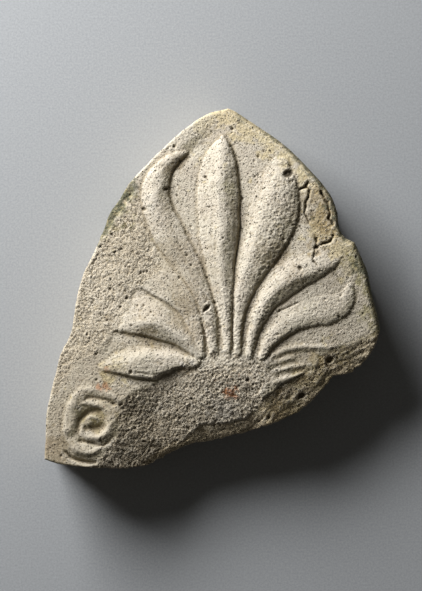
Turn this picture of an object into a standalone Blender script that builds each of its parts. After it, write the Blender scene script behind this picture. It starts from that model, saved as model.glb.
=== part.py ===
"""Broken terracotta antefix with a nine-leaf palmette, lying on its back."""

import bpy
import numpy as np
from mathutils import Vector
from mathutils.geometry import delaunay_2d_cdt

# Driving sizes, in metres.
WIDTH = 0.1685
LENGTH = 0.1810
THICKNESS = 0.0380
LEAF_RISE = 0.0040
MARGIN_RUN = 0.0010
CREST_ROUND = 0.0007
BOSS_RISE = 0.0014
BAND_WIDTH = 0.0070
BAND_RISE = 0.0009
COVE_WIDTH = 0.0025
COVE_DEPTH = 0.0004
EDGE_ROUND = 0.0032
BACK_CHAMFER = 0.0016
SCROLL_RISE = 0.0018
SCROLL_RIDGE = 0.0020
FACE_BOW = 0.0048
SIDE_BOW = 0.0012
FOOT_FALL = 0.0034
HEART_RISE = 0.0009
CORNER_DEPTH = 0.0002
MEETING = 0.0012
BROKEN_SPAN = (0.0001, 0.0007)
SHALLOW = 0.0003
SPALL_RISE = 0.0004
SPALL_EDGE_DEPTH = 0.0005
SPALL_EDGE_WIDTH = 0.0220
CHIP_DEPTH = 0.0016
CHIP_WIDTH = 0.0060

# Roughness of the broken faces: how high the lumps stand and how wide they are.
ROUGHNESS = 0.00045
SPALL_ROUGHNESS = 0.00025
BREAK_ROUGHNESS = 0.0004
WALL_ROUGHNESS = 0.0007
LUMP = 0.0028
BIG_LUMP = 0.0090
WALL_LUMP = 0.0090
STRATUM = 0.0060

# Falls of the broken faces, as height lost for each length run. The heart's
# fall steepens by HEART_CURVE for each metre, and the long break reaches its
# full fall over BREAK_EASE metres.
HEART_FALL = 0.13
HEART_CURVE = 1.6
CORNER_FALL = 0.36
BREAK_FALL = 0.30
BREAK_EASE = 0.0045
CLIFF_FALL = 1.2
CHIP_FALL = 0.25
CHIP_EDGE_FALL = 1.2

# Spacing of the mesh, in metres.
OUTLINE_SPACING = 0.0046
ROW_SPACING = 0.0023
FILL_SPACING = 0.0028
CLOSEST = 0.0009

# The drawing is set out on squared paper of half-millimetre squares, counted
# from the lower left corner of the sheet. The sheet is as wide and as long as
# the fragment, and every place on the face is given in its squares.
SHEET_WIDE = 337
SHEET_LONG = 362
SQUARE = ((WIDTH / SHEET_WIDE) * (LENGTH / SHEET_LONG)) ** 0.5

# The outline, clockwise from the tip's left, in stretches that meet at corners.
TIP_TO_CHIP = [(184, 362), (161, 355), (133, 335), (102, 305), (84, 286)]
CHIPPED_EDGE = [(84, 286), (76, 272), (65, 256), (60, 242)]
LEFT_EDGE = [(60, 242), (50, 218), (40, 198), (33, 175), (30, 155), (26, 135), (16, 115),
             (11, 95), (6, 75), (2, 55), (1, 30), (0, 10)]
FOOT_BREAK = [(0, 10), (16, 5), (56, 0), (96, 1), (116, 9), (141, 22), (171, 28), (206, 37),
              (231, 46), (256, 57), (268, 67), (278, 78), (290, 92)]
CORNER_BREAK = [(290, 92), (308, 96), (328, 115), (337, 138)]
RIGHT_EDGE = [(337, 138), (336, 148), (329, 175), (325, 195), (318, 213), (311, 228)]
NOTCH = [(311, 228), (302, 232), (296, 241), (294, 257)]
RIGHT_TO_TIP = [(294, 257), (287, 275), (271, 295), (241, 325), (208, 348), (193, 358), (184, 362)]
OUTLINE = [TIP_TO_CHIP, CHIPPED_EDGE, LEFT_EDGE, FOOT_BREAK, CORNER_BREAK, RIGHT_EDGE, NOTCH, RIGHT_TO_TIP]

# A leaf is drawn along its crest from foot to tip. Each station gives its
# place, its half-width to the left and to the right of the crest, in squares,
# and its height in tenths of LEAF_RISE. step is the height of the margins'
# steps in tenths, bend is 1 for a straight flank, 2 for a round one and 0 for
# one that runs softly into the field, and groove is the depth cut along the
# margin as a share of the crest's height.
LEAVES = {
    "centre": {
        "crest": [(182.5, 114, 4.2, 4.6, 4.6), (182, 150, 6.4, 5.6, 6), (180, 180, 11.5, 9, 7.2),
                  (177.5, 205, 14, 12.6, 8.4), (176.5, 230, 16, 16, 10.8), (176.5, 270, 19.6, 17.8, 11.8),
                  (176.5, 300, 17.8, 16, 10.4), (177, 315, 14.4, 12.4, 8.2), (177.5, 325, 8, 7.6, 6.2),
                  (178, 333, 1, 1, 3)],
        "step": (2.8, 3.2), "bend": (0.8, 1.15), "groove": (0.0, 0.16)},
    "first right": {
        "crest": [(193, 114, 4, 4.6, 4.7), (193.5, 150, 4.4, 5.6, 5.3), (196, 180, 7, 11.5, 6),
                  (204, 205, 11, 19, 7), (213.5, 232, 13, 28, 8), (221.5, 256, 16, 32, 8.6),
                  (226.5, 276, 17, 29, 8), (229, 291, 16, 21, 6.6), (231, 304, 9, 12, 3)],
        "step": (0.0, 2.2), "bend": (0, 2.2), "groove": (0.0, 0.09)},
    "second right": {
        "crest": [(205, 114, 5, 4.6, 4.4), (208, 138, 6, 5, 4.8), (211.5, 152, 8, 6.4, 5.4),
                  (219.5, 166.5, 11, 9, 6.4), (231, 180, 16, 11, 7), (246, 192.5, 20, 11.6, 7),
                  (265, 201, 20, 11, 5.8), (282, 207, 15, 7.5, 3.6), (295, 214, 5, 2, 1)],
        "step": (0.0, 1.0), "bend": (0, 1.7), "groove": (0.0, 0.12)},
    "third right": {
        "crest": [(217, 113, 4, 4, 4.4), (223, 125, 7, 5, 4.6), (231, 136, 10.4, 7.6, 4.5),
                  (241, 146, 12, 9.2, 4.3), (253, 154, 13, 12, 4.1), (268, 160.5, 14, 15, 4),
                  (284, 167, 14, 17.6, 4), (296, 174, 10, 15, 4.3), (304, 180.5, 6, 9.5, 4),
                  (308, 187, 2, 3, 2)],
        "step": (0.0, 1.5), "bend": (0, 3), "groove": (0.0, 0.18)},
    "first left": {
        "crest": [(169, 115, 4.6, 6, 4.7), (167, 135, 5, 7.5, 5), (163, 151, 5.4, 9.6, 5.6),
                  (158, 163, 6.6, 11.6, 6.2), (150, 181, 8.8, 14, 7), (139, 203, 9.6, 16.4, 7.6),
                  (126, 226, 10.4, 18, 8.2),
                  (115, 246, 11, 19, 8.6), (109, 265, 10, 17.6, 9), (108.5, 280, 10, 16, 9),
                  (112, 292, 9, 13, 7.8), (118, 302, 8, 9.5, 5.6), (127, 310, 6, 6.4, 4.2),
                  (141, 317, 1.5, 2.2, 2.4)],
        "step": (1.0, 2.8), "bend": (1.9, 1.5), "groove": (0.0, 0.08)},
    "second left": {
        "crest": [(157, 116, 5, 4.6, 4.2), (156, 136, 9, 4.4, 5), (152, 158, 14, 5, 6),
                  (145, 175, 20, 6.4, 6.4), (133, 191, 26, 8, 5.2), (121, 202, 29, 9, 3.6),
                  (96, 222, 30, 9, 2)],
        "step": (3.0, 1.0), "bend": (1.1, 1.4), "groove": (0.15, 0.0)},
    "third left": {
        "crest": [(154, 116, 4, 8, 4.1), (144, 132, 8, 15, 6.2), (132, 142, 12, 18, 8.2),
                  (120, 148.5, 15, 20, 9.4), (106, 153.5, 17, 20, 9.4), (90, 157.5, 17, 18, 7.4),
                  (66, 161, 16, 14, 3)],
        "step": (3.2, 0.0), "bend": (1.8, 0), "groove": (0.16, 0.0)},
    "fourth left": {
        "crest": [(154, 109, 4, 5, 4.4), (136, 109.5, 13, 9, 6.2), (116, 109.5, 18, 14, 7.8),
                  (96, 109, 16, 15, 7.6), (78, 107, 11, 13, 5.6), (60, 102.5, 3, 6, 2)],
        "step": (4.6, 0.0), "bend": (2.2, 0), "groove": (0.1, 0.0)},
}

# Four short folds beside the fourth right leaf, near the break.
FOLDS = [
    [(216, 105, 3, 3, 1.2), (230, 114, 3, 3, 2), (244, 121, 3, 3, 2.2), (263, 123, 3, 3, 2),
     (292, 122.5, 2.5, 3, 1.2)],
    [(223, 105, 3, 3, 1.5), (239, 110, 3, 3, 1.8), (251, 113, 2, 3, 0.9)],
    [(232, 99.3, 3, 3, 1.5), (245.6, 103, 3, 3, 2.2), (260, 105, 2, 3, 1.5)],
    [(230.5, 87, 3, 3, 1.5), (244, 92, 3.4, 3, 2.6), (259, 96, 2, 3, 1.5)],
]

# The scroll in the lower left corner: two rounded bands, the outer one sweeping
# round the corner, the inner one hooked about its eye.
SCROLL_MIDDLE = (47, 45)
SCROLL_REACH = (33, 40)

# Each stroke is drawn through stations: a place, its width in tenths of
# SCROLL_RIDGE and its height in tenths of SCROLL_RISE. The hollow beside the
# hook, the one below it and the eye inside it are sunk.
SCROLL_BANDS = [
    [(72, 72, 8, 3), (63, 77, 12, 5), (51, 79.5, 15, 6), (39, 77.5, 16, 7), (31, 70, 17, 8),
     (26.5, 60, 17, 8), (24.5, 48, 16, 8), (24.5, 37, 14, 8), (27, 27, 13, 8), (33, 19.5, 14, 8),
     (42, 16.5, 16, 8), (50, 18, 14, 6), (56, 23, 10, 4)],
    [(36, 66, 6, 4), (44, 67.5, 8, 6), (53, 66, 9, 7), (61, 61, 11, 8), (66, 53, 12, 8), (66.5, 45, 11, 8),
     (63, 38, 10, 8), (56, 33.5, 9, 9), (47, 32.5, 9, 7), (40.5, 34.5, 8, 6), (37.5, 40, 8, 6),
     (38, 47, 8, 7), (42.5, 52, 7, 8), (49, 53.5, 7, 7), (55, 51, 6, 4)],
]
SCROLL_HOLLOWS = [
    [(32, 37, 6, -3), (33.5, 45, 7, -6), (37, 52.5, 8, -9), (43, 58.5, 8, -8), (50.5, 61, 7, -3)],
    [(43, 43, 7, -4), (50, 43.5, 10, -7), (57, 44.5, 8, -5)],
    [(36, 30, 5, -4), (44, 27, 6, -5), (57, 26.5, 8, -5)],
    [(42, 71.5, 4, -2), (52, 72.5, 4, -3), (62, 70, 4, -3), (70, 65, 5, -3)],
    [(22, 18, 4, -3), (28, 11, 5, -6), (36, 6, 5, -7), (46, 3, 5, -5), (54, 3, 4, -2)],
]

# What is broken away: the heart and the lower left corner, the left flank, the
# chip on the left edge, and the upper edge of the long break on the right.
HEART = [(112, 89), (121, 94), (132, 100), (152, 102), (160, 112), (171, 117), (188, 117),
         (206, 112), (218, 108), (224, 102), (222, 90), (214, 78), (256, -30), (40, -30), (40, 0),
         (44, 4), (56, 13), (60, 20), (67, 29), (73, 42), (72, 55), (74, 66), (86, 76)]
FLANK = [(80, 282), (94, 274), (98, 262), (103, 250), (110, 235), (116, 218), (121, 202),
         (118, 192), (98, 180), (87, 170), (84, 158), (78, 144), (74, 137), (66, 123), (54, 114),
         (40, 104), (26, 90), (14, 74), (-4, 60), (-4, 170), (46, 270)]
CHIP = [(60, 236), (68, 250), (78, 262), (88, 278), (80, 296), (40, 270)]
BREAK_EDGE = [(356, 152), (337, 144), (316, 133.5), (299, 126.5), (287, 121), (272, 114.5),
              (269, 107), (263, 98), (246, 90), (235, 84), (228, 77), (219, 72), (211, 62),
              (201, 52), (185, 48), (172, 47), (156, 46), (144, 35), (125, 26), (106, 16),
              (94, 0), (76, -10)]

# Where each break starts and which way it falls, and the spans, in squares,
# over which one level blends into the next.
CORNER_EDGE = [(112, 89), (86, 76), (74, 66), (72, 55), (73, 42), (67, 29), (60, 20), (56, 13),
               (44, 4), (40, 0)]
HEART_TOP = (160, 108)
HEART_DOWN = (-0.30, -0.954)
HEART_RIGHT = (206, 232)
BOSS_PLACE = (188, 84)
BOSS_REACH = (46, 38)
BOW_ALONG = (0.75, -0.66)
BOW_SPAN = (45, 185)
SIDE_BOW_SPAN = (262, 350)
FOOT_SPAN = (-30, 120)
BAND_SPAN = (261, 301)
BAND_END = (178, 200)
EDGE_SPAN = (150, 210)
SOFT_EDGE = 9
RAGGED = 3
RAGGED_SIZE = 7
CLIFF_ROW = 2.6
CURVE_SPACING = 3
SCROLL_WEAR_SIZE = 8

# Shares of a size.
STEP_SHARE = 0.6
GROOVE_PLACE = 0.8
GROOVE_FADE = 0.1
SCROLL_WEAR = 0.4
SCROLL_SUNK = 0.15
SCROLL_RIM = (0.8, 1.05)
BOSS_SLOPE = (0.5, 1.25)
BAND_EDGE = (0.6, 1.5)
COVE_PLACE = 1.6
SMALL_LUMPS = 0.6
STRATA = 0.6
LAYERS_ALONG = (1.0, 0.6)
LAYERS_ACROSS = (-0.5, 2.4)
SHARP_EDGE = 0.3
EDGE_ROWS = (0.3, 1.1)
EDGE_CLEAR = 0.25
WALL_WAIST = 0.62
BACK_WORN = 0.8
FILL_JITTER = 0.4
FILL_ROWS = 0.87
FILL_CLOSEST = 0.55
FILL_MARGIN = 0.6


def ease(value, start, end):
    """Rise smoothly from 0 at start to 1 at end."""
    share = np.clip((value - start) / (end - start), 0.0, 1.0)
    return share * share * (3.0 - 2.0 * share)


def spline(points, spacing):
    """A smooth curve through points of any number of columns, at about this spacing."""
    knots = np.array(points, float)
    knots = np.vstack([2 * knots[0] - knots[1], knots, 2 * knots[-1] - knots[-2]])
    rows = []
    for index in range(1, len(knots) - 2):
        before, here, there, after = knots[index - 1:index + 3]
        length = np.hypot(*(there - here)[:2])
        count = max(1, int(np.ceil(length / spacing)))
        for share in np.arange(count) / count:
            rows.append(0.5 * (2 * here + (there - before) * share
                               + (2 * before - 5 * here + 4 * there - after) * share ** 2
                               + (3 * here - before - 3 * there + after) * share ** 3))
    rows.append(knots[-2])
    return np.array(rows)


def nearest(x, y, line):
    """Distance to a line, the length run along it, its left (1) or right (-1) side, and its runs."""
    steps = np.diff(line[:, :2], axis=0)
    lengths = np.hypot(steps[:, 0], steps[:, 1])
    starts = np.concatenate([[0.0], np.cumsum(lengths)])
    distance = np.full(x.shape, np.inf)
    run = np.zeros(x.shape)
    side = np.zeros(x.shape)
    for index, (dx, dy) in enumerate(steps):
        from_x = x - line[index, 0]
        from_y = y - line[index, 1]
        share = np.clip((from_x * dx + from_y * dy) / lengths[index] ** 2, 0.0, 1.0)
        gap = np.hypot(from_x - share * dx, from_y - share * dy)
        closer = gap < distance
        distance = np.where(closer, gap, distance)
        run = np.where(closer, starts[index] + share * lengths[index], run)
        side = np.where(closer, np.where(dx * from_y > dy * from_x, 1.0, -1.0), side)
    return distance, run, side, starts


def inside(x, y, ring):
    """True where a place lies inside a closed ring of points."""
    found = np.zeros(x.shape, bool)
    for (x0, y0), (x1, y1) in zip(ring, np.roll(ring, -1, axis=0)):
        if y0 == y1:
            continue
        spans = (y0 > y) != (y1 > y)
        found ^= spans & (x < (x1 - x0) * (y - y0) / (y1 - y0) + x0)
    return found


def beyond(x, y, corners):
    """Distance outside a closed ring of corners, below 0 inside it."""
    ring = np.array(corners, float)
    distance = nearest(x, y, np.vstack([ring, ring[:1]]))[0]
    return np.where(inside(x, y, ring), -distance, distance)


def grain(x, y, size, seed):
    """Smooth random lumps between -1 and 1, of about this size."""
    cells = 97
    table = np.random.default_rng(seed).random((cells, cells)) * 2.0 - 1.0
    across = x / size
    along = y / size
    i = np.floor(across).astype(int)
    j = np.floor(along).astype(int)
    u = ease(across - i, 0.0, 1.0)
    v = ease(along - j, 0.0, 1.0)
    near = table[i % cells, j % cells] * (1 - u) + table[(i + 1) % cells, j % cells] * u
    far = table[i % cells, (j + 1) % cells] * (1 - u) + table[(i + 1) % cells, (j + 1) % cells] * u
    return near * (1 - v) + far * v


def lumps(x, y):
    """Lumps of broken clay, from -1 to 1."""
    small = grain(x, y, LUMP / SQUARE, 5)
    large = grain(x + y, y - x, BIG_LUMP / SQUARE, 3)
    return SMALL_LUMPS * small + (1 - SMALL_LUMPS) * large


def outline_ring(spacing):
    """The fragment's outline as a ring of points that just fills the sheet."""
    stretches = [spline(stretch, spacing / SQUARE)[:-1] for stretch in OUTLINE]
    ring = np.vstack(stretches)
    low = ring.min(axis=0)
    high = ring.max(axis=0)
    return (ring - low) / (high - low) * (SHEET_WIDE, SHEET_LONG)


def leaf_line(stations):
    """A leaf's crest: x, y and half-widths in squares, and its height in metres."""
    line = spline(stations, CURVE_SPACING)
    line[:, 4] *= LEAF_RISE / 10
    return line


def leaf_relief(x, y, line, leaf):
    """Height of one leaf above the field, and the depth of its margin grooves."""
    distance, run, side, starts = nearest(x, y, line)
    left = side > 0
    half = np.where(left, np.interp(run, starts, line[:, 2]), np.interp(run, starts, line[:, 3]))
    crest = np.interp(run, starts, line[:, 4])
    step = np.minimum(np.where(left, *leaf["step"]) * LEAF_RISE / 10, STEP_SHARE * crest)
    rounded = CREST_ROUND / SQUARE
    share = np.clip((np.hypot(distance, rounded) - rounded) / half, 0.0, 1.0)
    bend = np.where(left, *leaf["bend"])
    drop = np.where(bend > 0, share ** bend, ease(share, 0, 1))
    flank = step + (crest - step) * (1 - drop)
    past = (distance - half) * SQUARE / MARGIN_RUN
    height = np.where(past <= 0, flank, step * (1 - past))
    groove = np.where(left, *leaf["groove"]) * crest * np.exp(-((past - GROOVE_PLACE) / GROOVE_PLACE) ** 2)
    return height, np.where(past > 0, groove, 0.0)


def stroke(x, y, stations):
    """The rounded relief of one stroke of the scroll."""
    line = spline(stations, CURVE_SPACING)
    distance, run, _, starts = nearest(x, y, line)
    width = np.interp(run, starts, line[:, 2]) / 10 * SCROLL_RIDGE / SQUARE
    return np.interp(run, starts, line[:, 3]) / 10 * SCROLL_RISE * np.exp(-(distance / width) ** 2)


def scroll_relief(x, y):
    """The scroll's two bands with the hollows between them."""
    worn = 1 + SCROLL_WEAR * grain(x, y, SCROLL_WEAR_SIZE, 24)
    bands = np.maximum(*(stroke(x, y, stations) for stations in SCROLL_BANDS)) * worn
    hollows = sum(stroke(x, y, stations) for stations in SCROLL_HOLLOWS)
    out = np.hypot((x - SCROLL_MIDDLE[0]) / SCROLL_REACH[0], (y - SCROLL_MIDDLE[1]) / SCROLL_REACH[1])
    return bands + hollows - SCROLL_SUNK * SCROLL_RISE * (1 - ease(out, *SCROLL_RIM))


def field_height(x, y, rim):
    """The ground behind the leaves: slightly bowed, with a low band left of the tip."""
    height = np.full(x.shape, THICKNESS)
    to_corner = BOW_ALONG[0] * (x - SHEET_WIDE / 2) + BOW_ALONG[1] * (y - SHEET_LONG / 2)
    height -= FACE_BOW * ease(to_corner, *BOW_SPAN)
    height -= SIDE_BOW * ease(x, *SIDE_BOW_SPAN)
    height -= FOOT_FALL * (1 - ease(y, *FOOT_SPAN))
    upper = ease(y, *BAND_SPAN) * (1 - ease(x, *BAND_END))
    height += BAND_RISE * upper * (1 - ease(rim / BAND_WIDTH, *BAND_EDGE))
    height -= COVE_DEPTH * upper * np.exp(-((rim - COVE_PLACE * BAND_WIDTH) / COVE_WIDTH) ** 2)
    return height


def carved_height(x, y, field):
    """The face as it left the mould: leaves, folds and scroll on the field."""
    out = np.hypot((x - BOSS_PLACE[0]) / BOSS_REACH[0], (y - BOSS_PLACE[1]) / BOSS_REACH[1])
    relief = BOSS_RISE * (1 - ease(out, *BOSS_SLOPE))
    cut = np.zeros(x.shape)
    for leaf in LEAVES.values():
        height, groove = leaf_relief(x, y, leaf_line(leaf["crest"]), leaf)
        relief = np.maximum(relief, height)
        cut = np.maximum(cut, groove)
    relief -= cut * (1 - ease(relief, 0.0, GROOVE_FADE * LEAF_RISE))
    for fold in FOLDS:
        line = leaf_line(fold)
        distance, run, _, starts = nearest(x, y, line)
        width = np.interp(run, starts, line[:, 2])
        relief += np.interp(run, starts, line[:, 4]) * np.exp(-(distance / width) ** 2)
    return field + relief + scroll_relief(x, y)


def heart_level(x, y, field):
    """Level of the break across the heart and down to the lower left corner."""
    from_edge = nearest(x, y, np.array(CORNER_EDGE, float))[0] * SQUARE
    down_heart = HEART_DOWN[0] * (x - HEART_TOP[0]) + HEART_DOWN[1] * (y - HEART_TOP[1])
    corner_level = -CORNER_DEPTH - CORNER_FALL * from_edge
    fall = np.maximum(down_heart, 0.0) * SQUARE
    middle_level = HEART_RISE - (HEART_FALL + HEART_CURVE * fall) * fall
    over = np.sqrt((corner_level - middle_level) ** 2 + MEETING ** 2)
    return field + 0.5 * (corner_level + middle_level + over)


def face_height(x, y, ring):
    """Height of the front above the back, with everything that is broken away."""
    rim = nearest(x, y, np.vstack([ring, ring[:1]]))[0] * SQUARE
    rough = lumps(x, y)
    field = field_height(x, y, rim)
    whole = carved_height(x, y, field)

    heart = heart_level(x, y, field)
    edge = beyond(x, y, HEART)
    shallow = whole - SHALLOW * ease(-edge, 0, SOFT_EDGE)
    cliff = CLIFF_FALL * np.maximum(edge, 0.0) * SQUARE
    height = np.minimum(whole, np.minimum(heart, shallow) + ROUGHNESS * rough + cliff)

    near_edge = 1 - ease(rim, 0.0, SPALL_EDGE_WIDTH)
    flank = field + SPALL_RISE - (SPALL_EDGE_DEPTH + SPALL_RISE) * near_edge + SPALL_ROUGHNESS * rough
    ragged = RAGGED * grain(x, y, RAGGED_SIZE, 14)
    height += (flank - height) * ease(ragged - beyond(x, y, FLANK), 0, SOFT_EDGE)

    chip = field - CHIP_DEPTH - CHIP_FALL * (CHIP_WIDTH - rim)
    cliff = CHIP_EDGE_FALL * np.maximum(beyond(x, y, CHIP), 0.0) * SQUARE
    height = np.minimum(height, chip + ROUGHNESS * rough + cliff)

    gap, run, side, _ = nearest(x, y, np.array(BREAK_EDGE, float))
    share = ease(x, *HEART_RIGHT)
    level = field * share + heart * (1 - share)
    along = LAYERS_ALONG[0] * run + LAYERS_ALONG[1] * gap
    across = LAYERS_ACROSS[0] * run + LAYERS_ACROSS[1] * gap
    strata = grain(along, across, STRATUM / SQUARE, 12)
    down = gap * SQUARE
    lower = level - BREAK_FALL * down ** 2 / (down + BREAK_EASE)
    lower += BREAK_ROUGHNESS * (rough + STRATA * strata)
    height = np.where(side > 0, np.minimum(height, lower), height)

    broken = ease(whole - height, *BROKEN_SPAN)
    rounding = EDGE_ROUND * (SHARP_EDGE + (1 - SHARP_EDGE) * ease(x, *EDGE_SPAN) * (1 - broken))
    turn = np.clip(rounding - rim, 0.0, rounding)
    return height - rounding + np.sqrt(rounding ** 2 - turn ** 2)


def offset_line(line, gaps):
    """The line moved to its left by a gap for each point."""
    along = np.gradient(line[:, :2], axis=0)
    along /= np.maximum(np.hypot(along[:, 0], along[:, 1]), 1e-9)[:, None]
    return line[:, :2] + np.column_stack([-along[:, 1], along[:, 0]]) * gaps[:, None]


def feature_rows(ring):
    """Rows of points along every crest, margin, ridge and broken edge."""
    rows = []
    margin = MARGIN_RUN / SQUARE
    for leaf in LEAVES.values():
        line = leaf_line(leaf["crest"])
        rows.append(line[:, :2])
        for sign, column in ((1, 2), (-1, 3)):
            rows.append(offset_line(line, sign * line[:, column]))
            rows.append(offset_line(line, sign * (line[:, column] + margin)))
    for stations in SCROLL_BANDS + SCROLL_HOLLOWS:
        rows.append(spline(stations, CURVE_SPACING)[:, :2])
    for stations in FOLDS:
        rows.append(leaf_line(stations)[:, :2])
    heart = spline(HEART + HEART[:1], ROW_SPACING / SQUARE)
    rows.append(heart)
    rows.append(offset_line(heart, np.full(len(heart), CLIFF_ROW)))
    rows.append(np.array(BREAK_EDGE, float))
    closed = np.vstack([ring, ring[:1]])
    for gap in EDGE_ROWS:
        rows.append(offset_line(closed, np.full(len(closed), gap * EDGE_ROUND / SQUARE)))
    return rows


def even(row, spacing):
    """The same row with its points at an even spacing."""
    steps = np.hypot(*np.diff(row, axis=0).T)
    starts = np.concatenate([[0.0], np.cumsum(steps)])
    places = np.linspace(0.0, starts[-1], max(2, int(round(starts[-1] / spacing)) + 1))
    return np.column_stack([np.interp(places, starts, row[:, 0]), np.interp(places, starts, row[:, 1])])


def triangles(points, edges, count):
    """Triangles that fill the ring made by the first count points."""
    ring = list(range(count))
    flat, _, faces, _, _, _ = delaunay_2d_cdt([Vector(point) for point in points], edges, [ring], 1, 1e-5)
    return np.array([tuple(point) for point in flat]), np.array(faces)


def front_mesh(ring):
    """Points and triangles of the front, denser along the carving."""
    closed = np.vstack([ring, ring[:1]])
    cell = FILL_SPACING / SQUARE
    taken = {}
    points = []
    edges = []

    def add(place):
        taken.setdefault((int(place[0] // cell), int(place[1] // cell)), []).append(place)
        points.append(tuple(place))

    def clear(place, gap):
        i, j = int(place[0] // cell), int(place[1] // cell)
        for column in (i - 1, i, i + 1):
            for row in (j - 1, j, j + 1):
                for other in taken.get((column, row), ()):
                    if np.hypot(other[0] - place[0], other[1] - place[1]) <= gap:
                        return False
        return True

    def well_inside(places, gap):
        x, y = places[:, 0], places[:, 1]
        return inside(x, y, ring) & (nearest(x, y, closed)[0] > gap)

    for place in ring:
        add(place)

    edge_gap = EDGE_CLEAR * EDGE_ROUND / SQUARE
    for row in feature_rows(ring):
        places = even(row, ROW_SPACING / SQUARE)
        fits = well_inside(places, edge_gap)
        middles = well_inside((places + np.roll(places, 1, axis=0)) / 2, 0.5 * edge_gap)
        last = None
        for place, fit, middle in zip(places, fits, middles):
            if not fit or not clear(place, CLOSEST / SQUARE):
                last = None
                continue
            add(place)
            here = len(points) - 1
            if last is not None and middle:
                edges.append((last, here))
            last = here

    rows = int(SHEET_LONG / (FILL_ROWS * cell)) + 2
    columns = int(SHEET_WIDE / cell) + 2
    jitter = np.random.default_rng(41).random((rows, columns, 2)) - 0.5
    j, i = np.mgrid[0:rows, 0:columns]
    across = (i + 0.5 * (j % 2) + FILL_JITTER * jitter[:, :, 0]) * cell
    along = FILL_ROWS * (j + FILL_JITTER * jitter[:, :, 1]) * cell
    fill = np.column_stack([across.ravel(), along.ravel()])
    for place in fill[well_inside(fill, FILL_MARGIN * cell)]:
        if clear(place, FILL_CLOSEST * cell):
            add(place)
    return triangles(points, edges, len(ring))


def facing(places, faces, sign):
    """The faces wound so that they all face up (1) or down (-1)."""
    corners = places[faces]
    first = corners[:, 1] - corners[:, 0]
    second = corners[:, 2] - corners[:, 0]
    area = first[:, 0] * second[:, 1] - first[:, 1] * second[:, 0]
    return np.where((area * sign > 0)[:, None], faces, faces[:, ::-1])


def in_metres(places, heights):
    """Points in metres: squares counted from the sheet's middle, and a height."""
    across = (places[:, 0] / SHEET_WIDE - 0.5) * WIDTH
    along = (places[:, 1] / SHEET_LONG - 0.5) * LENGTH
    return np.column_stack([across, along, heights])


def build_antefix():
    """One closed body: carved front, rough sides and flat back."""
    ring = outline_ring(OUTLINE_SPACING)
    count = len(ring)
    flat, front = front_mesh(ring)
    heights = face_height(flat[:, 0], flat[:, 1], ring)
    vertices = [in_metres(flat, heights)]
    faces = [facing(flat, front, 1)]

    # The sides lean in a little below the front and end in a worn edge.
    closed = np.vstack([ring[-1:], ring, ring[:1]])
    along = closed[2:] - closed[:-2]
    inward = np.column_stack([-along[:, 1], along[:, 0]])
    inward /= np.hypot(inward[:, 0], inward[:, 1])[:, None]
    worn = WALL_ROUGHNESS * (1 + grain(ring[:, 0], ring[:, 1], WALL_LUMP / SQUARE, 21))
    top = heights[:count]
    levels = [(WALL_WAIST * top, worn), (np.full(count, BACK_CHAMFER), BACK_WORN * worn[::-1]),
              (np.zeros(count), BACK_CHAMFER + worn)]
    here = np.arange(count)
    following = np.roll(here, -1)
    above = here
    start = len(flat)
    for level, inset in levels:
        place = ring + inward * inset[:, None] / SQUARE
        vertices.append(in_metres(place, level))
        below = start + here
        faces.append(np.column_stack([above, below, above[following]]))
        faces.append(np.column_stack([above[following], below, below[following]]))
        above = below
        start += count
    flat, back = triangles([tuple(point) for point in place], [], count)
    faces.append(facing(flat, back, -1) + start - count)

    mesh = bpy.data.meshes.new("antefix")
    mesh.from_pydata(np.vstack(vertices).tolist(), [], np.vstack(faces).tolist())
    mesh.validate()
    antefix = bpy.data.objects.new("antefix", mesh)
    bpy.context.collection.objects.link(antefix)
    return antefix


def terracotta():
    """Pale buff fired clay, dry and matt."""
    material = bpy.data.materials.new("terracotta")
    material.use_nodes = True
    shader = material.node_tree.nodes["Principled BSDF"]
    shader.inputs["Base Color"].default_value = (0.60, 0.54, 0.43, 1.0)
    shader.inputs["Roughness"].default_value = 0.92
    shader.inputs["Metallic"].default_value = 0.0
    return material


for item in list(bpy.data.objects):
    bpy.data.objects.remove(item)
build_antefix().data.materials.append(terracotta())
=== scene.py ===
import math
import bpy
import numpy as np
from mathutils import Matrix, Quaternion, Vector
from mathutils.geometry import delaunay_2d_cdt


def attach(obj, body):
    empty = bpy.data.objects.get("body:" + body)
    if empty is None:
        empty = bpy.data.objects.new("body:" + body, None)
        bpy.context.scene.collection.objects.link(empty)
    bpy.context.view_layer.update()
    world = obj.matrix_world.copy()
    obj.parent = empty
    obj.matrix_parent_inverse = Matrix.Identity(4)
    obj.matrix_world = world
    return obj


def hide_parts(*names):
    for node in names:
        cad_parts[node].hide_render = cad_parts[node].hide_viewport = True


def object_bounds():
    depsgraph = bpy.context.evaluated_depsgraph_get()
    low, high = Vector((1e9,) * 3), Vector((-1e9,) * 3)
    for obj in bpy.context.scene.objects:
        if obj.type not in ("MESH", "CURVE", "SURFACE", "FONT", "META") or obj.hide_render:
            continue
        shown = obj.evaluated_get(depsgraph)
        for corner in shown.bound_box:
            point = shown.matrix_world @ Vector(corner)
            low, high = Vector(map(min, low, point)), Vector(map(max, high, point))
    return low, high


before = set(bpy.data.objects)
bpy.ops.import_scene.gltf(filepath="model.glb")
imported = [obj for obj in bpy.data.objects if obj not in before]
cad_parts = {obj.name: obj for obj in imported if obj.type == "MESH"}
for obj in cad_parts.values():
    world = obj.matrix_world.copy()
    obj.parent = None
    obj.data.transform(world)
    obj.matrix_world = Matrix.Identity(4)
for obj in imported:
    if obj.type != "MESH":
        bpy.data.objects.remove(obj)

cad_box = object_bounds()

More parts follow.
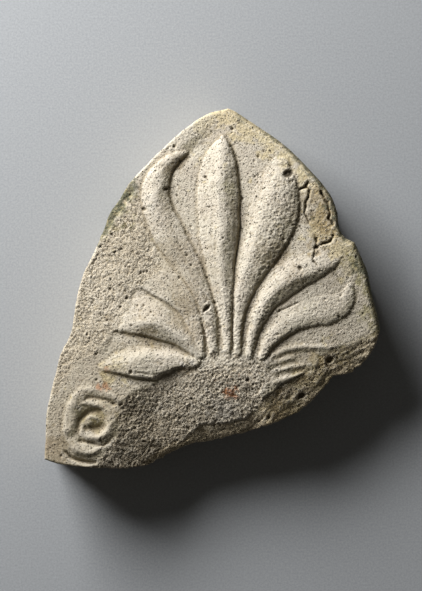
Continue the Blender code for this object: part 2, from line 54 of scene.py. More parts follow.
# The plain grey floor under the fragment, with the light and the camera above
# it. The camera looks straight down on the carved face, and one large soft
# lamp stands low beyond the top edge, a little to the left.
FACE_LEVEL = 0.038
VIEW_CENTRE = (-0.00075, -0.00325)
VIEW_DISTANCE = 1.6
VIEW_LONG = 0.2955
LAMP_DIRECTION = 129
LAMP_ELEVATION = 27.5
LAMP_DISTANCE = 1.0
LAMP_SIZE = (0.68, 0.40)
LAMP_TURN = 24
LAMP_POWER = 24.6
LAMP_COLOUR = (1.0, 0.985, 0.955)
SKY_COLOUR = (1.0, 0.94, 0.84)
SKY_STRENGTH = 0.055
FLOOR_REACH = 2
FLOOR_COLOUR = (0.367, 0.386, 0.411)
FLOOR_DARKER = (0.275, 0.289, 0.310)
FLOOR_GRAIN = (1000, 4, 0.7)
FLOOR_GRAIN_SPAN = (0.3, 0.7)
FLOOR_ROUGHNESS = 0.95
FLOOR_SHEEN = 0.1


def placed(name, data):
    """A new object, put in the scene."""
    made = bpy.data.objects.new(name, data)
    bpy.context.collection.objects.link(made)
    return made


def material(name):
    """A new node material, with its node tree and its shader."""
    made = bpy.data.materials.new(name)
    made.use_nodes = True
    return made, made.node_tree, made.node_tree.nodes["Principled BSDF"]


def noise_node(tree, place, scale, detail, rough):
    """A noise texture at this many lumps a metre, read in the object's own metres."""
    noise = tree.nodes.new("ShaderNodeTexNoise")
    noise.inputs["Scale"].default_value = scale
    noise.inputs["Detail"].default_value = detail
    noise.inputs["Roughness"].default_value = rough
    tree.links.new(place, noise.inputs["Vector"])
    return noise.outputs["Fac"]


def mix_node(tree, factor, first, second, blend="MIX"):
    """A colour between two, each a colour or a socket; factor is a number or a socket."""
    mix = tree.nodes.new("ShaderNodeMix")
    mix.data_type = "RGBA"
    mix.blend_type = blend
    for key, kind, value in (("Factor", "VALUE", factor), ("A", "RGBA", first), ("B", "RGBA", second)):
        socket = next(s for s in mix.inputs if s.name == key and s.type == kind)
        if isinstance(value, bpy.types.NodeSocket):
            tree.links.new(value, socket)
        elif kind == "VALUE":
            socket.default_value = value
        else:
            socket.default_value = (*value, 1.0)
    return next(s for s in mix.outputs if s.type == "RGBA")


def ramp_node(tree, value, low, high, bottom=0.0, top=1.0):
    """A value carried from the span low..high to bottom..top, and held at its ends."""
    span = tree.nodes.new("ShaderNodeMapRange")
    span.inputs["From Min"].default_value = low
    span.inputs["From Max"].default_value = high
    span.inputs["To Min"].default_value = bottom
    span.inputs["To Max"].default_value = top
    tree.links.new(value, span.inputs["Value"])
    return span.outputs["Result"]


camera = placed("camera", bpy.data.cameras.new("camera"))
camera.location = (*VIEW_CENTRE, FACE_LEVEL + VIEW_DISTANCE)
camera.data.lens = camera.data.sensor_width * VIEW_DISTANCE / VIEW_LONG
bpy.context.scene.camera = camera
bpy.context.scene.view_settings.view_transform = "Standard"

lamp = placed("lamp", bpy.data.lights.new("lamp", "AREA"))
lamp.data.shape = "RECTANGLE"
lamp.data.size, lamp.data.size_y = LAMP_SIZE
lamp.data.energy = LAMP_POWER
lamp.data.color = LAMP_COLOUR
around = math.radians(LAMP_DIRECTION)
above = math.radians(LAMP_ELEVATION)
towards_lamp = Vector((math.cos(around) * math.cos(above), math.sin(around) * math.cos(above), math.sin(above)))
lamp.location = towards_lamp * LAMP_DISTANCE
facing_in = towards_lamp.to_track_quat("Z", "Y") @ Quaternion((0, 0, 1), math.radians(LAMP_TURN))
lamp.rotation_euler = facing_in.to_euler()

world = bpy.data.worlds.new("room")
world.use_nodes = True
world.node_tree.nodes["Background"].inputs["Color"].default_value = (*SKY_COLOUR, 1.0)
world.node_tree.nodes["Background"].inputs["Strength"].default_value = SKY_STRENGTH
bpy.context.scene.world = world

floor_mesh = bpy.data.meshes.new("floor")
floor_corners = [(FLOOR_REACH * x, FLOOR_REACH * y, 0) for x, y in ((-1, -1), (1, -1), (1, 1), (-1, 1))]
floor_mesh.from_pydata(floor_corners, [], [(0, 1, 2, 3)])
floor = placed("floor", floor_mesh)
floor_material, tree, shader = material("floor")
place = tree.nodes.new("ShaderNodeTexCoord").outputs["Object"]
mottle = noise_node(tree, place, *FLOOR_GRAIN)
tone = mix_node(tree, ramp_node(tree, mottle, *FLOOR_GRAIN_SPAN), FLOOR_DARKER, FLOOR_COLOUR)
tree.links.new(tone, shader.inputs["Base Color"])
shader.inputs["Roughness"].default_value = FLOOR_ROUGHNESS
shader.inputs["Specular IOR Level"].default_value = FLOOR_SHEEN
floor_mesh.materials.append(floor_material)

# The slab of the antefix: one piece of buff clay pressed in a mould and fired.
# Its pointed upper part is whole, with a low band below the tip, and the rest
# of its outline is broken. Sizes are in metres.
WIDTH = 0.1685
LENGTH = 0.1810
THICKNESS = 0.0380
BAND_WIDTH = 0.0070
BAND_RISE = 0.0009
COVE_WIDTH = 0.0025
COVE_DEPTH = 0.0004
EDGE_ROUND = 0.0032
BACK_CHAMFER = 0.0016
FACE_BOW = 0.0048
SIDE_BOW = 0.0012
FOOT_FALL = 0.0034

# The drawing is set out on squared paper of half-millimetre squares, counted
# from the lower left corner of the sheet. The sheet is as wide and as long as
# the fragment, and every place on the face is given in its squares.
SHEET_WIDE = 337
SHEET_LONG = 362
SQUARE = ((WIDTH / SHEET_WIDE) * (LENGTH / SHEET_LONG)) ** 0.5

# The outline, clockwise from the tip's left, in stretches that meet at corners.
TIP_TO_CHIP = [(184, 362), (161, 355), (133, 335), (102, 305), (84, 286)]
CHIPPED_EDGE = [(84, 286), (76, 272), (65, 256), (60, 242)]
LEFT_EDGE = [(60, 242), (50, 218), (40, 198), (33, 175), (30, 155), (26, 135), (16, 115),
             (11, 95), (6, 75), (2, 55), (1, 30), (0, 10)]
FOOT_BREAK = [(0, 10), (16, 5), (56, 0), (96, 1), (116, 9), (141, 22), (171, 28), (206, 37),
              (231, 46), (256, 57), (268, 67), (278, 78), (290, 92)]
CORNER_BREAK = [(290, 92), (308, 96), (328, 115), (337, 138)]
RIGHT_EDGE = [(337, 138), (336, 148), (329, 175), (325, 195), (318, 213), (311, 228)]
NOTCH = [(311, 228), (302, 232), (296, 241), (294, 257)]
RIGHT_TO_TIP = [(294, 257), (287, 275), (271, 295), (241, 325), (208, 348), (193, 358), (184, 362)]
OUTLINE = [TIP_TO_CHIP, CHIPPED_EDGE, LEFT_EDGE, FOOT_BREAK, CORNER_BREAK, RIGHT_EDGE, NOTCH, RIGHT_TO_TIP]

# Where the field bows towards the lower right corner, the right side and the
# foot, and how far the band and the cove beside it reach.
BOW_ALONG = (0.75, -0.66)
BOW_SPAN = (45, 185)
SIDE_BOW_SPAN = (262, 350)
FOOT_SPAN = (-30, 120)
BAND_SPAN = (261, 301)
BAND_END = (140, 182)
BAND_EDGE = (0.6 * BAND_WIDTH, 1.5 * BAND_WIDTH)
COVE_PLACE = 1.6 * BAND_WIDTH


def ease(value, start, end):
    """Rise smoothly from 0 at start to 1 at end."""
    share = np.clip((value - start) / (end - start), 0.0, 1.0)
    return share * share * (3.0 - 2.0 * share)


def spline(points, spacing):
    """A smooth curve through points, with any further columns, at about this spacing."""
    knots = np.array(points, float)
    knots = np.vstack([2 * knots[0] - knots[1], knots, 2 * knots[-1] - knots[-2]])
    rows = []
    for index in range(1, len(knots) - 2):
        before, here, there, after = knots[index - 1:index + 3]
        length = np.hypot(*(there - here)[:2])
        count = max(1, int(np.ceil(length / spacing)))
        for share in np.arange(count) / count:
            rows.append(0.5 * (2 * here + (there - before) * share
                               + (2 * before - 5 * here + 4 * there - after) * share ** 2
                               + (3 * here - before - 3 * there + after) * share ** 3))
    rows.append(knots[-2])
    return np.array(rows)


def nearest(x, y, line):
    """Distance to a line, length run along it, side (1 left, -1 right), and runs of its points."""
    steps = np.diff(line[:, :2], axis=0)
    lengths = np.hypot(steps[:, 0], steps[:, 1])
    starts = np.concatenate([[0.0], np.cumsum(lengths)])
    distance = np.full(x.shape, np.inf)
    run = np.zeros(x.shape)
    side = np.zeros(x.shape)
    for index, (dx, dy) in enumerate(steps):
        from_x = x - line[index, 0]
        from_y = y - line[index, 1]
        share = np.clip((from_x * dx + from_y * dy) / lengths[index] ** 2, 0.0, 1.0)
        gap = np.hypot(from_x - share * dx, from_y - share * dy)
        closer = gap < distance
        distance = np.where(closer, gap, distance)
        run = np.where(closer, starts[index] + share * lengths[index], run)
        side = np.where(closer, np.where(dx * from_y > dy * from_x, 1.0, -1.0), side)
    return distance, run, side, starts


def inside(x, y, ring):
    """True where a place lies inside a closed ring of points."""
    found = np.zeros(x.shape, bool)
    for (x0, y0), (x1, y1) in zip(ring, np.roll(ring, -1, axis=0)):
        if y0 == y1:
            continue
        spans = (y0 > y) != (y1 > y)
        found ^= spans & (x < (x1 - x0) * (y - y0) / (y1 - y0) + x0)
    return found


def grain(x, y, size, seed):
    """Smooth random lumps between -1 and 1, of about this size; each use has its own seed."""
    cells = 97
    table = np.random.default_rng(seed).random((cells, cells)) * 2.0 - 1.0
    across = x / size
    along = y / size
    i = np.floor(across).astype(int)
    j = np.floor(along).astype(int)
    u = ease(across - i, 0.0, 1.0)
    v = ease(along - j, 0.0, 1.0)
    near = table[i % cells, j % cells] * (1 - u) + table[(i + 1) % cells, j % cells] * u
    far = table[i % cells, (j + 1) % cells] * (1 - u) + table[(i + 1) % cells, (j + 1) % cells] * u
    return near * (1 - v) + far * v


def outline_ring(spacing):
    """The fragment's outline as a ring of points that just fills the sheet."""
    stretches = [spline(stretch, spacing / SQUARE)[:-1] for stretch in OUTLINE]
    ring = np.vstack(stretches)
    low = ring.min(axis=0)
    high = ring.max(axis=0)
    return (ring - low) / (high - low) * (SHEET_WIDE, SHEET_LONG)


def field_height(x, y, rim):
    """The ground behind the leaves: slightly bowed, with a low band below the tip."""
    height = np.full(x.shape, THICKNESS)
    to_corner = BOW_ALONG[0] * (x - SHEET_WIDE / 2) + BOW_ALONG[1] * (y - SHEET_LONG / 2)
    height -= FACE_BOW * ease(to_corner, *BOW_SPAN)
    height -= SIDE_BOW * ease(x, *SIDE_BOW_SPAN)
    height -= FOOT_FALL * (1 - ease(y, *FOOT_SPAN))
    upper = ease(y, *BAND_SPAN) * (1 - ease(x, *BAND_END))
    height += BAND_RISE * upper * (1 - ease(rim, *BAND_EDGE))
    height -= COVE_DEPTH * upper * np.exp(-((rim - COVE_PLACE) / COVE_WIDTH) ** 2)
    return height


# The palmette: nine leaves of the same clay, raised in the mould, that spread
# from stems at the heart. The margins are steps, the crests are worn round,
# and fine streaks run along the flanks. Below the stems the heart swells.
LEAF_RISE = 0.0040
MARGIN_RUN = 0.0010
WORN = 0.10
WORN_SIZE = 17
CREST_ROUND = 1.9
STEP_SHARE = 0.6
GROOVE_PLACE = 0.8
GROOVE_WIDTH = 0.8
GROOVE_FADE = 0.1 * LEAF_RISE
STREAK = 0.00010
STREAK_SIZE = 1.7
STREAK_DRAWN_OUT = 0.14
WANDER = 0.8
WANDER_SIZE = 13
FINE_WANDER = 0.5
FINE_WANDER_SIZE = 5
BOSS_RISE = 0.0014
BOSS_PLACE = (188, 84)
BOSS_REACH = (46, 38)
BOSS_SLOPE = (0.5, 1.25)
CURVE_SPACING = 3

# A leaf is drawn along its crest from foot to tip. Each station gives its
# place, its half-width to the left and to the right of the crest, in squares,
# and its height in tenths of LEAF_RISE. Left and right are those of someone who
# walks from foot to tip. step is the height of the left and the right margin's
# step in tenths, bend is 1 for a straight flank, 2 for a round one and 0 for one
# that runs softly into the field, and groove is the depth cut along the margin
# as a share of the crest's height.
LEAVES = {
    "centre": {
        "crest": [(182.5, 114, 3.2, 3.6, 4.2), (182, 150, 5.6, 5.0, 5.4), (180, 180, 11.5, 9, 7.0),
                  (177.5, 205, 15, 12.6, 8.4), (176.5, 230, 19, 16, 10.8), (176.5, 270, 23, 17.8, 11.8),
                  (176.5, 300, 20, 16, 10.4), (177, 315, 15.4, 12.4, 8.2), (177.5, 325, 8, 7.6, 6.2),
                  (178, 333, 1, 1, 3)],
        "step": (0.8, 2.2), "bend": (0.9, 1.6), "groove": (0.0, 0.14)},
    "first right": {
        "crest": [(193, 114, 3.2, 3.6, 4.1), (194, 150, 4.2, 5.0, 4.9), (197.5, 180, 9, 11, 6),
                  (206, 205, 15, 18, 7), (216.5, 232, 19, 25.5, 8), (226, 256, 24, 27.5, 8.6),
                  (232, 276, 24, 23, 8), (234.5, 291, 20, 16, 6.6), (235, 304, 11, 9, 3)],
        "step": (0.0, 1.2), "bend": (0, 2.0), "groove": (0.0, 0.05)},
    "second right": {
        "crest": [(206, 114, 4.2, 3.6, 4.0), (210, 138, 6, 4.4, 4.6), (214.5, 152, 8.5, 6.4, 5.2),
                  (222, 166, 12, 9, 6.0), (232.5, 179.5, 17, 13, 7.0), (246.5, 189.5, 23, 12.5, 6.8),
                  (265, 196.5, 24, 8.6, 5.2), (282, 203.5, 18, 6, 3.4), (295, 211, 6, 2, 1)],
        "step": (0.0, 0.4), "bend": (0, 1.0), "groove": (0.0, 0.06)},
    "third right": {
        "crest": [(217.5, 113, 3.6, 3.4, 4.0), (224, 125, 7, 4.6, 4.4), (232.5, 136, 12, 7.6, 4.4),
                  (243, 145, 14, 9.4, 4.0), (255, 150, 17, 9.4, 3.4), (269, 153.5, 20, 9.6, 2.9),
                  (284, 156.5, 22, 9.6, 2.7), (296, 163, 18, 9.4, 2.7), (303, 173, 10, 8, 2.4),
                  (305.5, 184, 2, 3, 1.4)],
        "step": (0.0, 0.7), "bend": (0, 2.4), "groove": (0.0, 0.12)},
    "first left": {
        "crest": [(169, 115, 3.8, 4.4, 4.2), (167, 135, 4.4, 5.6, 4.6), (163, 151, 5.4, 9.6, 5.2),
                  (158, 163, 6.6, 11.6, 5.6), (150, 181, 8.8, 14, 6.0), (139, 203, 9.6, 16.4, 6.6),
                  (127, 226, 11.4, 17, 7.4), (117, 246, 13, 17, 8.2), (112, 265, 13.4, 14.8, 9),
                  (112, 280, 14, 12.6, 9), (115.5, 292, 12.6, 10.4, 7.8), (120.5, 301.5, 10, 8.4, 5.6),
                  (128, 309.5, 7, 6, 4.2), (141, 317, 1.5, 2.2, 2.4)],
        "step": (0.8, 1.6), "bend": (1.3, 1.5), "groove": (0.0, 0.05)},
    "second left": {
        "crest": [(157, 116, 4, 4, 4.0), (156, 136, 8, 3.8, 4.6), (152, 158, 14, 5, 6),
                  (145, 175, 20, 6.4, 6.4), (133, 191, 26, 8, 5.2), (121, 202, 29, 9, 3.4),
                  (109, 212, 30, 9, 1.0), (96, 222, 30, 9, 0.1)],
        "step": (3.8, 1.0), "bend": (1.1, 1.4), "groove": (0.24, 0.0)},
    "third left": {
        "crest": [(154, 116, 4, 6, 4.1), (144, 127, 6.5, 11, 6.2), (132, 135, 9, 17, 8.0),
                  (120, 142.5, 12.5, 22, 9.4), (107, 147.5, 13.6, 25, 9.6), (93, 146.5, 10.5, 25, 7.0),
                  (78, 141.5, 4, 22, 3.2)],
        "step": (2.8, 0.0), "bend": (1.1, 1.0), "groove": (0.14, 0.0)},
    "fourth left": {
        "crest": [(154, 109, 4, 5, 3.8), (136, 109.5, 13, 9, 5.2), (116, 109.5, 18, 14, 7.2),
                  (96, 109, 16, 15, 7.6), (78, 107, 11, 13, 5.6), (60, 102.5, 3, 6, 2)],
        "step": (4.6, 0.0), "bend": (2.2, 0), "groove": (0.1, 0.0)},
}

# The ninth leaf, the lowest on the right, ends in the break. Four low folds of
# it are left.
FOLDS = [
    [(216, 105, 3, 3, 1.2), (230, 114, 3, 3, 2), (244, 121, 3, 3, 2.2), (263, 123, 3, 3, 2),
     (292, 122.5, 2.5, 3, 1.2)],
    [(223, 105, 3, 3, 1.5), (239, 110, 3, 3, 1.8), (251, 113, 2, 3, 0.9)],
    [(232, 99.3, 3, 3, 1.5), (245.6, 103, 3, 3, 2.2), (260, 105, 2, 3, 1.5)],
    [(230.5, 87, 3, 3, 1.5), (244, 92, 3.4, 3, 2.6), (259, 96, 2, 3, 1.5)],
]


def leaf_line(stations):
    """A leaf's crest: x, y and half-widths in squares, and its height in metres."""
    line = spline(stations, CURVE_SPACING)
    line[:, 4] *= LEAF_RISE / 10
    return line


def leaf_relief(x, y, line, leaf):
    """Height of one leaf above the field, and the depth of its margin grooves."""
    distance, run, side, starts = nearest(x, y, line)
    left = side > 0
    half = np.where(left, np.interp(run, starts, line[:, 2]), np.interp(run, starts, line[:, 3]))
    crest = np.interp(run, starts, line[:, 4]) * (1 + WORN * grain(x, y, WORN_SIZE, 23))
    step = np.minimum(np.where(left, *leaf["step"]) * LEAF_RISE / 10, STEP_SHARE * crest)
    share = np.clip((np.hypot(distance, CREST_ROUND) - CREST_ROUND) / half, 0.0, 1.0)
    bend = np.where(left, *leaf["bend"])
    drop = np.where(bend > 0, share ** bend, ease(share, 0, 1))
    flank = step + (crest - step) * (1 - drop)
    flank += STREAK * grain(distance, run * STREAK_DRAWN_OUT, STREAK_SIZE, 27)
    past = (distance - half) * SQUARE / MARGIN_RUN
    height = np.where(past <= 0, flank, step * (1 - past))
    groove = np.where(left, *leaf["groove"]) * crest * np.exp(-((past - GROOVE_PLACE) / GROOVE_WIDTH) ** 2)
    return height, np.where(past > 0, groove, 0.0)


# The scroll in the lower left corner: two rounded bands pressed with the face,
# the outer one sweeping round the corner, the inner one hooked about its eye.
SCROLL_RISE = 0.0018
SCROLL_RIDGE = 0.0020
SCROLL_WEAR = 0.4
SCROLL_WEAR_SIZE = 8
SCROLL_SUNK = 0.15
SCROLL_MIDDLE = (47, 45)
SCROLL_REACH = (33, 40)
SCROLL_RIM = (0.8, 1.05)

# Each stroke is drawn through stations: a place, its width in tenths of
# SCROLL_RIDGE and its height in tenths of SCROLL_RISE. BAND_LEAN is how much
# wider a band is on its left, as a share. The hollows between and beside the
# bands, and the eye inside the hook, are sunk.
SCROLL_BANDS = [
    [(72, 72, 8, 3), (63, 77, 12, 4), (51, 80, 15, 5), (39, 79, 16, 6), (30, 71.5, 16, 8),
     (25, 60, 16, 9), (22.5, 48, 15, 9), (22.5, 37, 14, 9), (26, 27, 13, 8), (33, 19.5, 14, 8),
     (42, 16.5, 16, 8), (50, 18, 14, 6), (56, 23, 10, 4)],
    [(36, 66, 6, 4), (44, 67.5, 8, 6), (53, 66, 9, 7), (61, 61, 11, 7), (66, 53, 13, 7), (66.5, 45, 13, 7),
     (63, 38, 12, 7), (56, 33.5, 11, 7), (47, 32.5, 10, 6), (40.5, 34.5, 8, 5), (37.5, 40, 5, 4),
     (38, 47, 5, 4), (42, 51.5, 5, 5), (48, 53, 5, 5), (53, 51, 4, 3)],
]
BAND_LEAN = (0.45, 0.0)
SCROLL_HOLLOWS = [
    [(33, 38, 7, -3), (35.5, 46, 9, -6), (40, 52.5, 10, -8), (46, 57, 11, -7), (54, 58.5, 10, -5)],
    [(43, 41.5, 8, -6), (51, 41.5, 11, -10), (59, 42.5, 9, -7)],
    [(36, 29.5, 4, -4), (46, 27, 4, -6), (56, 24.5, 4, -6), (64, 28, 4, -3), (70, 34, 4, -2)],
    [(42, 71.5, 4, -2), (52, 72.5, 4, -3), (62, 70, 4, -3), (70, 65, 5, -3)],
    [(22, 18, 4, -5), (30, 11, 5, -11), (40, 7.5, 5, -12), (51, 6, 5, -9)],
]


def stroke(x, y, stations, lean=0.0):
    """The rounded relief of one stroke of the scroll, wider on its left by the share lean."""
    line = spline(stations, CURVE_SPACING)
    distance, run, side, starts = nearest(x, y, line)
    width = np.interp(run, starts, line[:, 2]) / 10 * SCROLL_RIDGE / SQUARE * (1 + lean * side)
    return np.interp(run, starts, line[:, 3]) / 10 * SCROLL_RISE * np.exp(-(distance / width) ** 2)


def scroll_relief(x, y):
    """The scroll's two bands with the hollows between them."""
    worn = 1 + SCROLL_WEAR * grain(x, y, SCROLL_WEAR_SIZE, 24)
    sweep, hook = (stroke(x, y, stations, lean) for stations, lean in zip(SCROLL_BANDS, BAND_LEAN))
    bands = np.maximum(sweep, hook) * worn
    hollows = sum(stroke(x, y, stations) for stations in SCROLL_HOLLOWS)
    out = np.hypot((x - SCROLL_MIDDLE[0]) / SCROLL_REACH[0], (y - SCROLL_MIDDLE[1]) / SCROLL_REACH[1])
    return bands + hollows - SCROLL_SUNK * SCROLL_RISE * (1 - ease(out, *SCROLL_RIM))


def carved_height(x, y, field):
    """The face as it left the mould: leaves, folds and scroll on the field."""
    shift_x = grain(x, y, WANDER_SIZE, 21) + FINE_WANDER * grain(x, y, FINE_WANDER_SIZE, 22)
    shift_y = grain(y, x, WANDER_SIZE, 25) + FINE_WANDER * grain(y, x, FINE_WANDER_SIZE, 26)
    x, y = x + WANDER * shift_x, y + WANDER * shift_y
    out = np.hypot((x - BOSS_PLACE[0]) / BOSS_REACH[0], (y - BOSS_PLACE[1]) / BOSS_REACH[1])
    relief = BOSS_RISE * (1 - ease(out, *BOSS_SLOPE))
    cut = np.zeros(x.shape)
    for leaf in LEAVES.values():
        height, groove = leaf_relief(x, y, leaf_line(leaf["crest"]), leaf)
        relief = np.maximum(relief, height)
        cut = np.maximum(cut, groove)
    relief -= cut * (1 - ease(relief, 0.0, GROOVE_FADE))
    for fold in FOLDS:
        line = leaf_line(fold)
        distance, run, side, starts = nearest(x, y, line)
        width = np.interp(run, starts, line[:, 2])
        relief += np.interp(run, starts, line[:, 4]) * np.exp(-(distance / width) ** 2)
    return field + relief + scroll_relief(x, y)


# The broken faces: open, gritty clay where the heart, the foot and the left
# flank came away from the slab, with cliffs at their edges and lumps that follow
# the layers in which the clay was pressed.
HEART_RISE = 0.0009
CORNER_DEPTH = 0.0002
SHALLOW = 0.0003
SPALL_RISE = 0.0004
SPALL_EDGE_DEPTH = 0.0005
SPALL_EDGE_WIDTH = 0.0220
CHIP_DEPTH = 0.0016
CHIP_WIDTH = 0.0060
RIM_CHIP_DEPTH = 0.0003
LEDGE = 0.0007
MEETING = 0.0012
BROKEN_SPAN = (0.0001, 0.0007)

# Roughness of the broken faces: how high the lumps stand and how wide they are.
ROUGHNESS = 0.00028
SPALL_ROUGHNESS = 0.00025
RIM_CHIP_ROUGHNESS = 0.8 * ROUGHNESS
BREAK_ROUGHNESS = 0.00032
LUMP = 0.0028
BIG_LUMP = 0.0090
STRATUM = 0.0060
SMALL_LUMPS = 0.6
STRATA = 0.6
STRATA_ALONG = (1.0, 0.6)
STRATA_ACROSS = (-0.5, 2.4)
LAYERS = 0.8
LAYERS_ALONG = (0.3, 0.2)
LAYERS_ACROSS = (-0.2, 1.4)
LAYER_SIZE = 3

# Falls of the broken faces, as height lost for each length run. The heart's
# fall steepens by HEART_CURVE for each metre, and the long break reaches its
# full fall over BREAK_EASE metres.
HEART_FALL = 0.13
HEART_CURVE = 1.6
CORNER_FALL = 0.36
BREAK_FALL = 0.25
BREAK_EASE = 0.0012
CLIFF_FALL = 1.2
CHIP_FALL = 0.25
CHIP_EDGE_FALL = 1.2

# What is broken away: the heart and the lower left corner, the left flank, the
# chip on the left edge, and the upper edge of the long break on the right.
HEART = [(112, 89), (121, 94), (132, 100), (152, 102), (160, 112), (171, 117), (188, 117),
         (206, 112), (218, 108), (224, 102), (222, 90), (214, 78), (256, -30), (40, -30), (40, 0),
         (44, 4), (56, 13), (60, 20), (67, 29), (73, 42), (72, 55), (74, 66), (86, 76)]
FLANK = [(80, 282), (94, 274), (98, 262), (103, 250), (110, 235), (116, 218), (121, 202),
         (118, 192), (98, 180), (87, 170), (84, 158), (78, 144), (74, 137), (66, 123), (54, 114),
         (40, 104), (26, 90), (14, 74), (-4, 60), (-4, 170), (46, 270)]
CHIP = [(60, 236), (68, 250), (78, 262), (88, 278), (80, 296), (40, 270)]
RIM_CHIP = [(264, 291), (279, 288), (297, 262), (297, 246), (304, 236), (292, 229), (279, 224), (273, 207),
            (268, 215), (269, 232), (265, 245), (262, 268)]
BREAK_EDGE = [(356, 152), (337, 144), (316, 133.5), (299, 126.5), (287, 121), (272, 114.5),
              (269, 107), (263, 98), (246, 90), (235, 84), (228, 77), (219, 72), (211, 62),
              (201, 52), (185, 48), (172, 47), (156, 46), (144, 35), (125, 26), (106, 16),
              (94, 0), (76, -10)]

# Where each break starts and which way it falls, the spans over which one
# level blends into the next, and how ragged the edges are. The corner breaks
# away along the last points of the heart's edge.
CORNER_POINTS = 9
CORNER_EDGE = HEART[:1] + HEART[-CORNER_POINTS:][::-1]
HEART_TOP = (160, 108)
HEART_DOWN = (-0.30, -0.954)
HEART_RIGHT = (206, 232)
HEART_RAGGED = 1.3
HEART_RAGGED_SIZE = 4.5
RAGGED = 3
RAGGED_SIZE = 7
SOFT_EDGE = 9
RIM_CHIP_EDGE = 4.5
LEDGE_EDGE = (0, 2)
LEDGE_LEFT = (146, 160)
LEDGE_RIGHT = (206, 226)
BREAK_SOFT = (0, 4)
SHARP_EDGE = 0.3
EDGE_SPAN = (150, 210)
SPALL_BARE = 0.8


def beyond(x, y, corners):
    """Distance outside a closed ring of corners, below 0 inside it."""
    ring = np.array(corners, float)
    distance = nearest(x, y, np.vstack([ring, ring[:1]]))[0]
    return np.where(inside(x, y, ring), -distance, distance)


def lumps(x, y):
    """Lumps of broken clay, from -1 to 1."""
    small = grain(x, y, LUMP / SQUARE, 5)
    big = grain(x + y, y - x, BIG_LUMP / SQUARE, 3)
    return SMALL_LUMPS * small + (1 - SMALL_LUMPS) * big


def layered(run, gap, along, across, size, seed):
    """Lumps drawn out along the long break, as the layers of pressed clay leave them."""
    return grain(along[0] * run + along[1] * gap, across[0] * run + across[1] * gap, size, seed)


def heart_level(x, y, field):
    """Level of the break across the heart and down to the lower left corner."""
    from_edge = nearest(x, y, np.array(CORNER_EDGE, float))[0] * SQUARE
    down_heart = HEART_DOWN[0] * (x - HEART_TOP[0]) + HEART_DOWN[1] * (y - HEART_TOP[1])
    corner_level = -CORNER_DEPTH - CORNER_FALL * from_edge
    fall = np.maximum(down_heart, 0.0) * SQUARE
    middle_level = HEART_RISE - (HEART_FALL + HEART_CURVE * fall) * fall
    over = np.sqrt((corner_level - middle_level) ** 2 + MEETING ** 2)
    return field + 0.5 * (corner_level + middle_level + over)


def face_height(x, y, ring):
    """Height of the front with its breaks, how bare it is, and where the long break lies."""
    rim = nearest(x, y, np.vstack([ring, ring[:1]]))[0] * SQUARE
    rough = lumps(x, y)
    field = field_height(x, y, rim)
    height = carved_height(x, y, field)
    whole = height.copy()

    heart = heart_level(x, y, field)
    edge = beyond(x, y, HEART) + HEART_RAGGED * grain(x, y, HEART_RAGGED_SIZE, 15)
    shallow = height - SHALLOW * ease(-edge, 0, SOFT_EDGE)
    cliff = CLIFF_FALL * np.maximum(edge, 0.0) * SQUARE
    height = np.minimum(height, np.minimum(heart, shallow) + ROUGHNESS * rough + cliff)

    near_edge = 1 - ease(rim, 0.0, SPALL_EDGE_WIDTH)
    flank = field + SPALL_RISE - (SPALL_EDGE_DEPTH + SPALL_RISE) * near_edge + SPALL_ROUGHNESS * rough
    ragged = RAGGED * grain(x, y, RAGGED_SIZE, 14)
    spalled = ease(ragged - beyond(x, y, FLANK), 0, SOFT_EDGE)
    height += (flank - height) * spalled

    chip = field - CHIP_DEPTH - CHIP_FALL * (CHIP_WIDTH - rim)
    cliff = CHIP_EDGE_FALL * np.maximum(beyond(x, y, CHIP), 0.0) * SQUARE
    height = np.minimum(height, chip + ROUGHNESS * rough + cliff)

    flake = field - RIM_CHIP_DEPTH + RIM_CHIP_ROUGHNESS * rough
    height += (flake - height) * ease(ragged - beyond(x, y, RIM_CHIP), 0, RIM_CHIP_EDGE)

    gap, run, side, starts = nearest(x, y, np.array(BREAK_EDGE, float))
    share = ease(x, *HEART_RIGHT)
    level = field * share + heart * (1 - share)
    strata = layered(run, gap, STRATA_ALONG, STRATA_ACROSS, STRATUM / SQUARE, 12)
    layers = layered(run, gap, LAYERS_ALONG, LAYERS_ACROSS, LAYER_SIZE, 13)
    down = gap * SQUARE
    lower = level - BREAK_FALL * down ** 2 / (down + BREAK_EASE)
    lower += BREAK_ROUGHNESS * (rough + STRATA * strata + LAYERS * layers)
    lower -= LEDGE * ease(gap, *LEDGE_EDGE) * ease(x, *LEDGE_LEFT) * (1 - ease(x, *LEDGE_RIGHT))
    height = np.where(side > 0, np.minimum(height, lower), height)
    far = np.where(side > 0, ease(gap, *BREAK_SOFT), 0.0)

    broken = np.maximum(ease(whole - height, *BROKEN_SPAN), SPALL_BARE * spalled)
    rounding = EDGE_ROUND * (SHARP_EDGE + (1 - SHARP_EDGE) * ease(x, *EDGE_SPAN) * (1 - broken))
    turn = np.clip(rounding - rim, 0.0, rounding)
    return height - rounding + np.sqrt(rounding ** 2 - turn ** 2), broken, far


# The weathered face: pores where grit and straw burnt out of the clay in the
# kiln, hair cracks, pits and fine grit, all of them below the skin that the
# mould left.

# Each kind of pore: the spacing it is scattered at, its radius, its depth, its
# share of the places and the seed of its draws. BROKEN_PORES is how many more
# there are where the clay is broken.
PORES = [(0.0020, 0.00042, 0.0006, 0.20, 31), (0.0036, 0.00060, 0.0009, 0.15, 32),
         (0.0095, 0.00100, 0.0012, 0.10, 33)]
PORE_TABLE = 61
PORE_WIDTHS = (0.4, 0.9)
PORE_DEPTHS = (0.4, 0.6)
BROKEN_PORES = 2.2

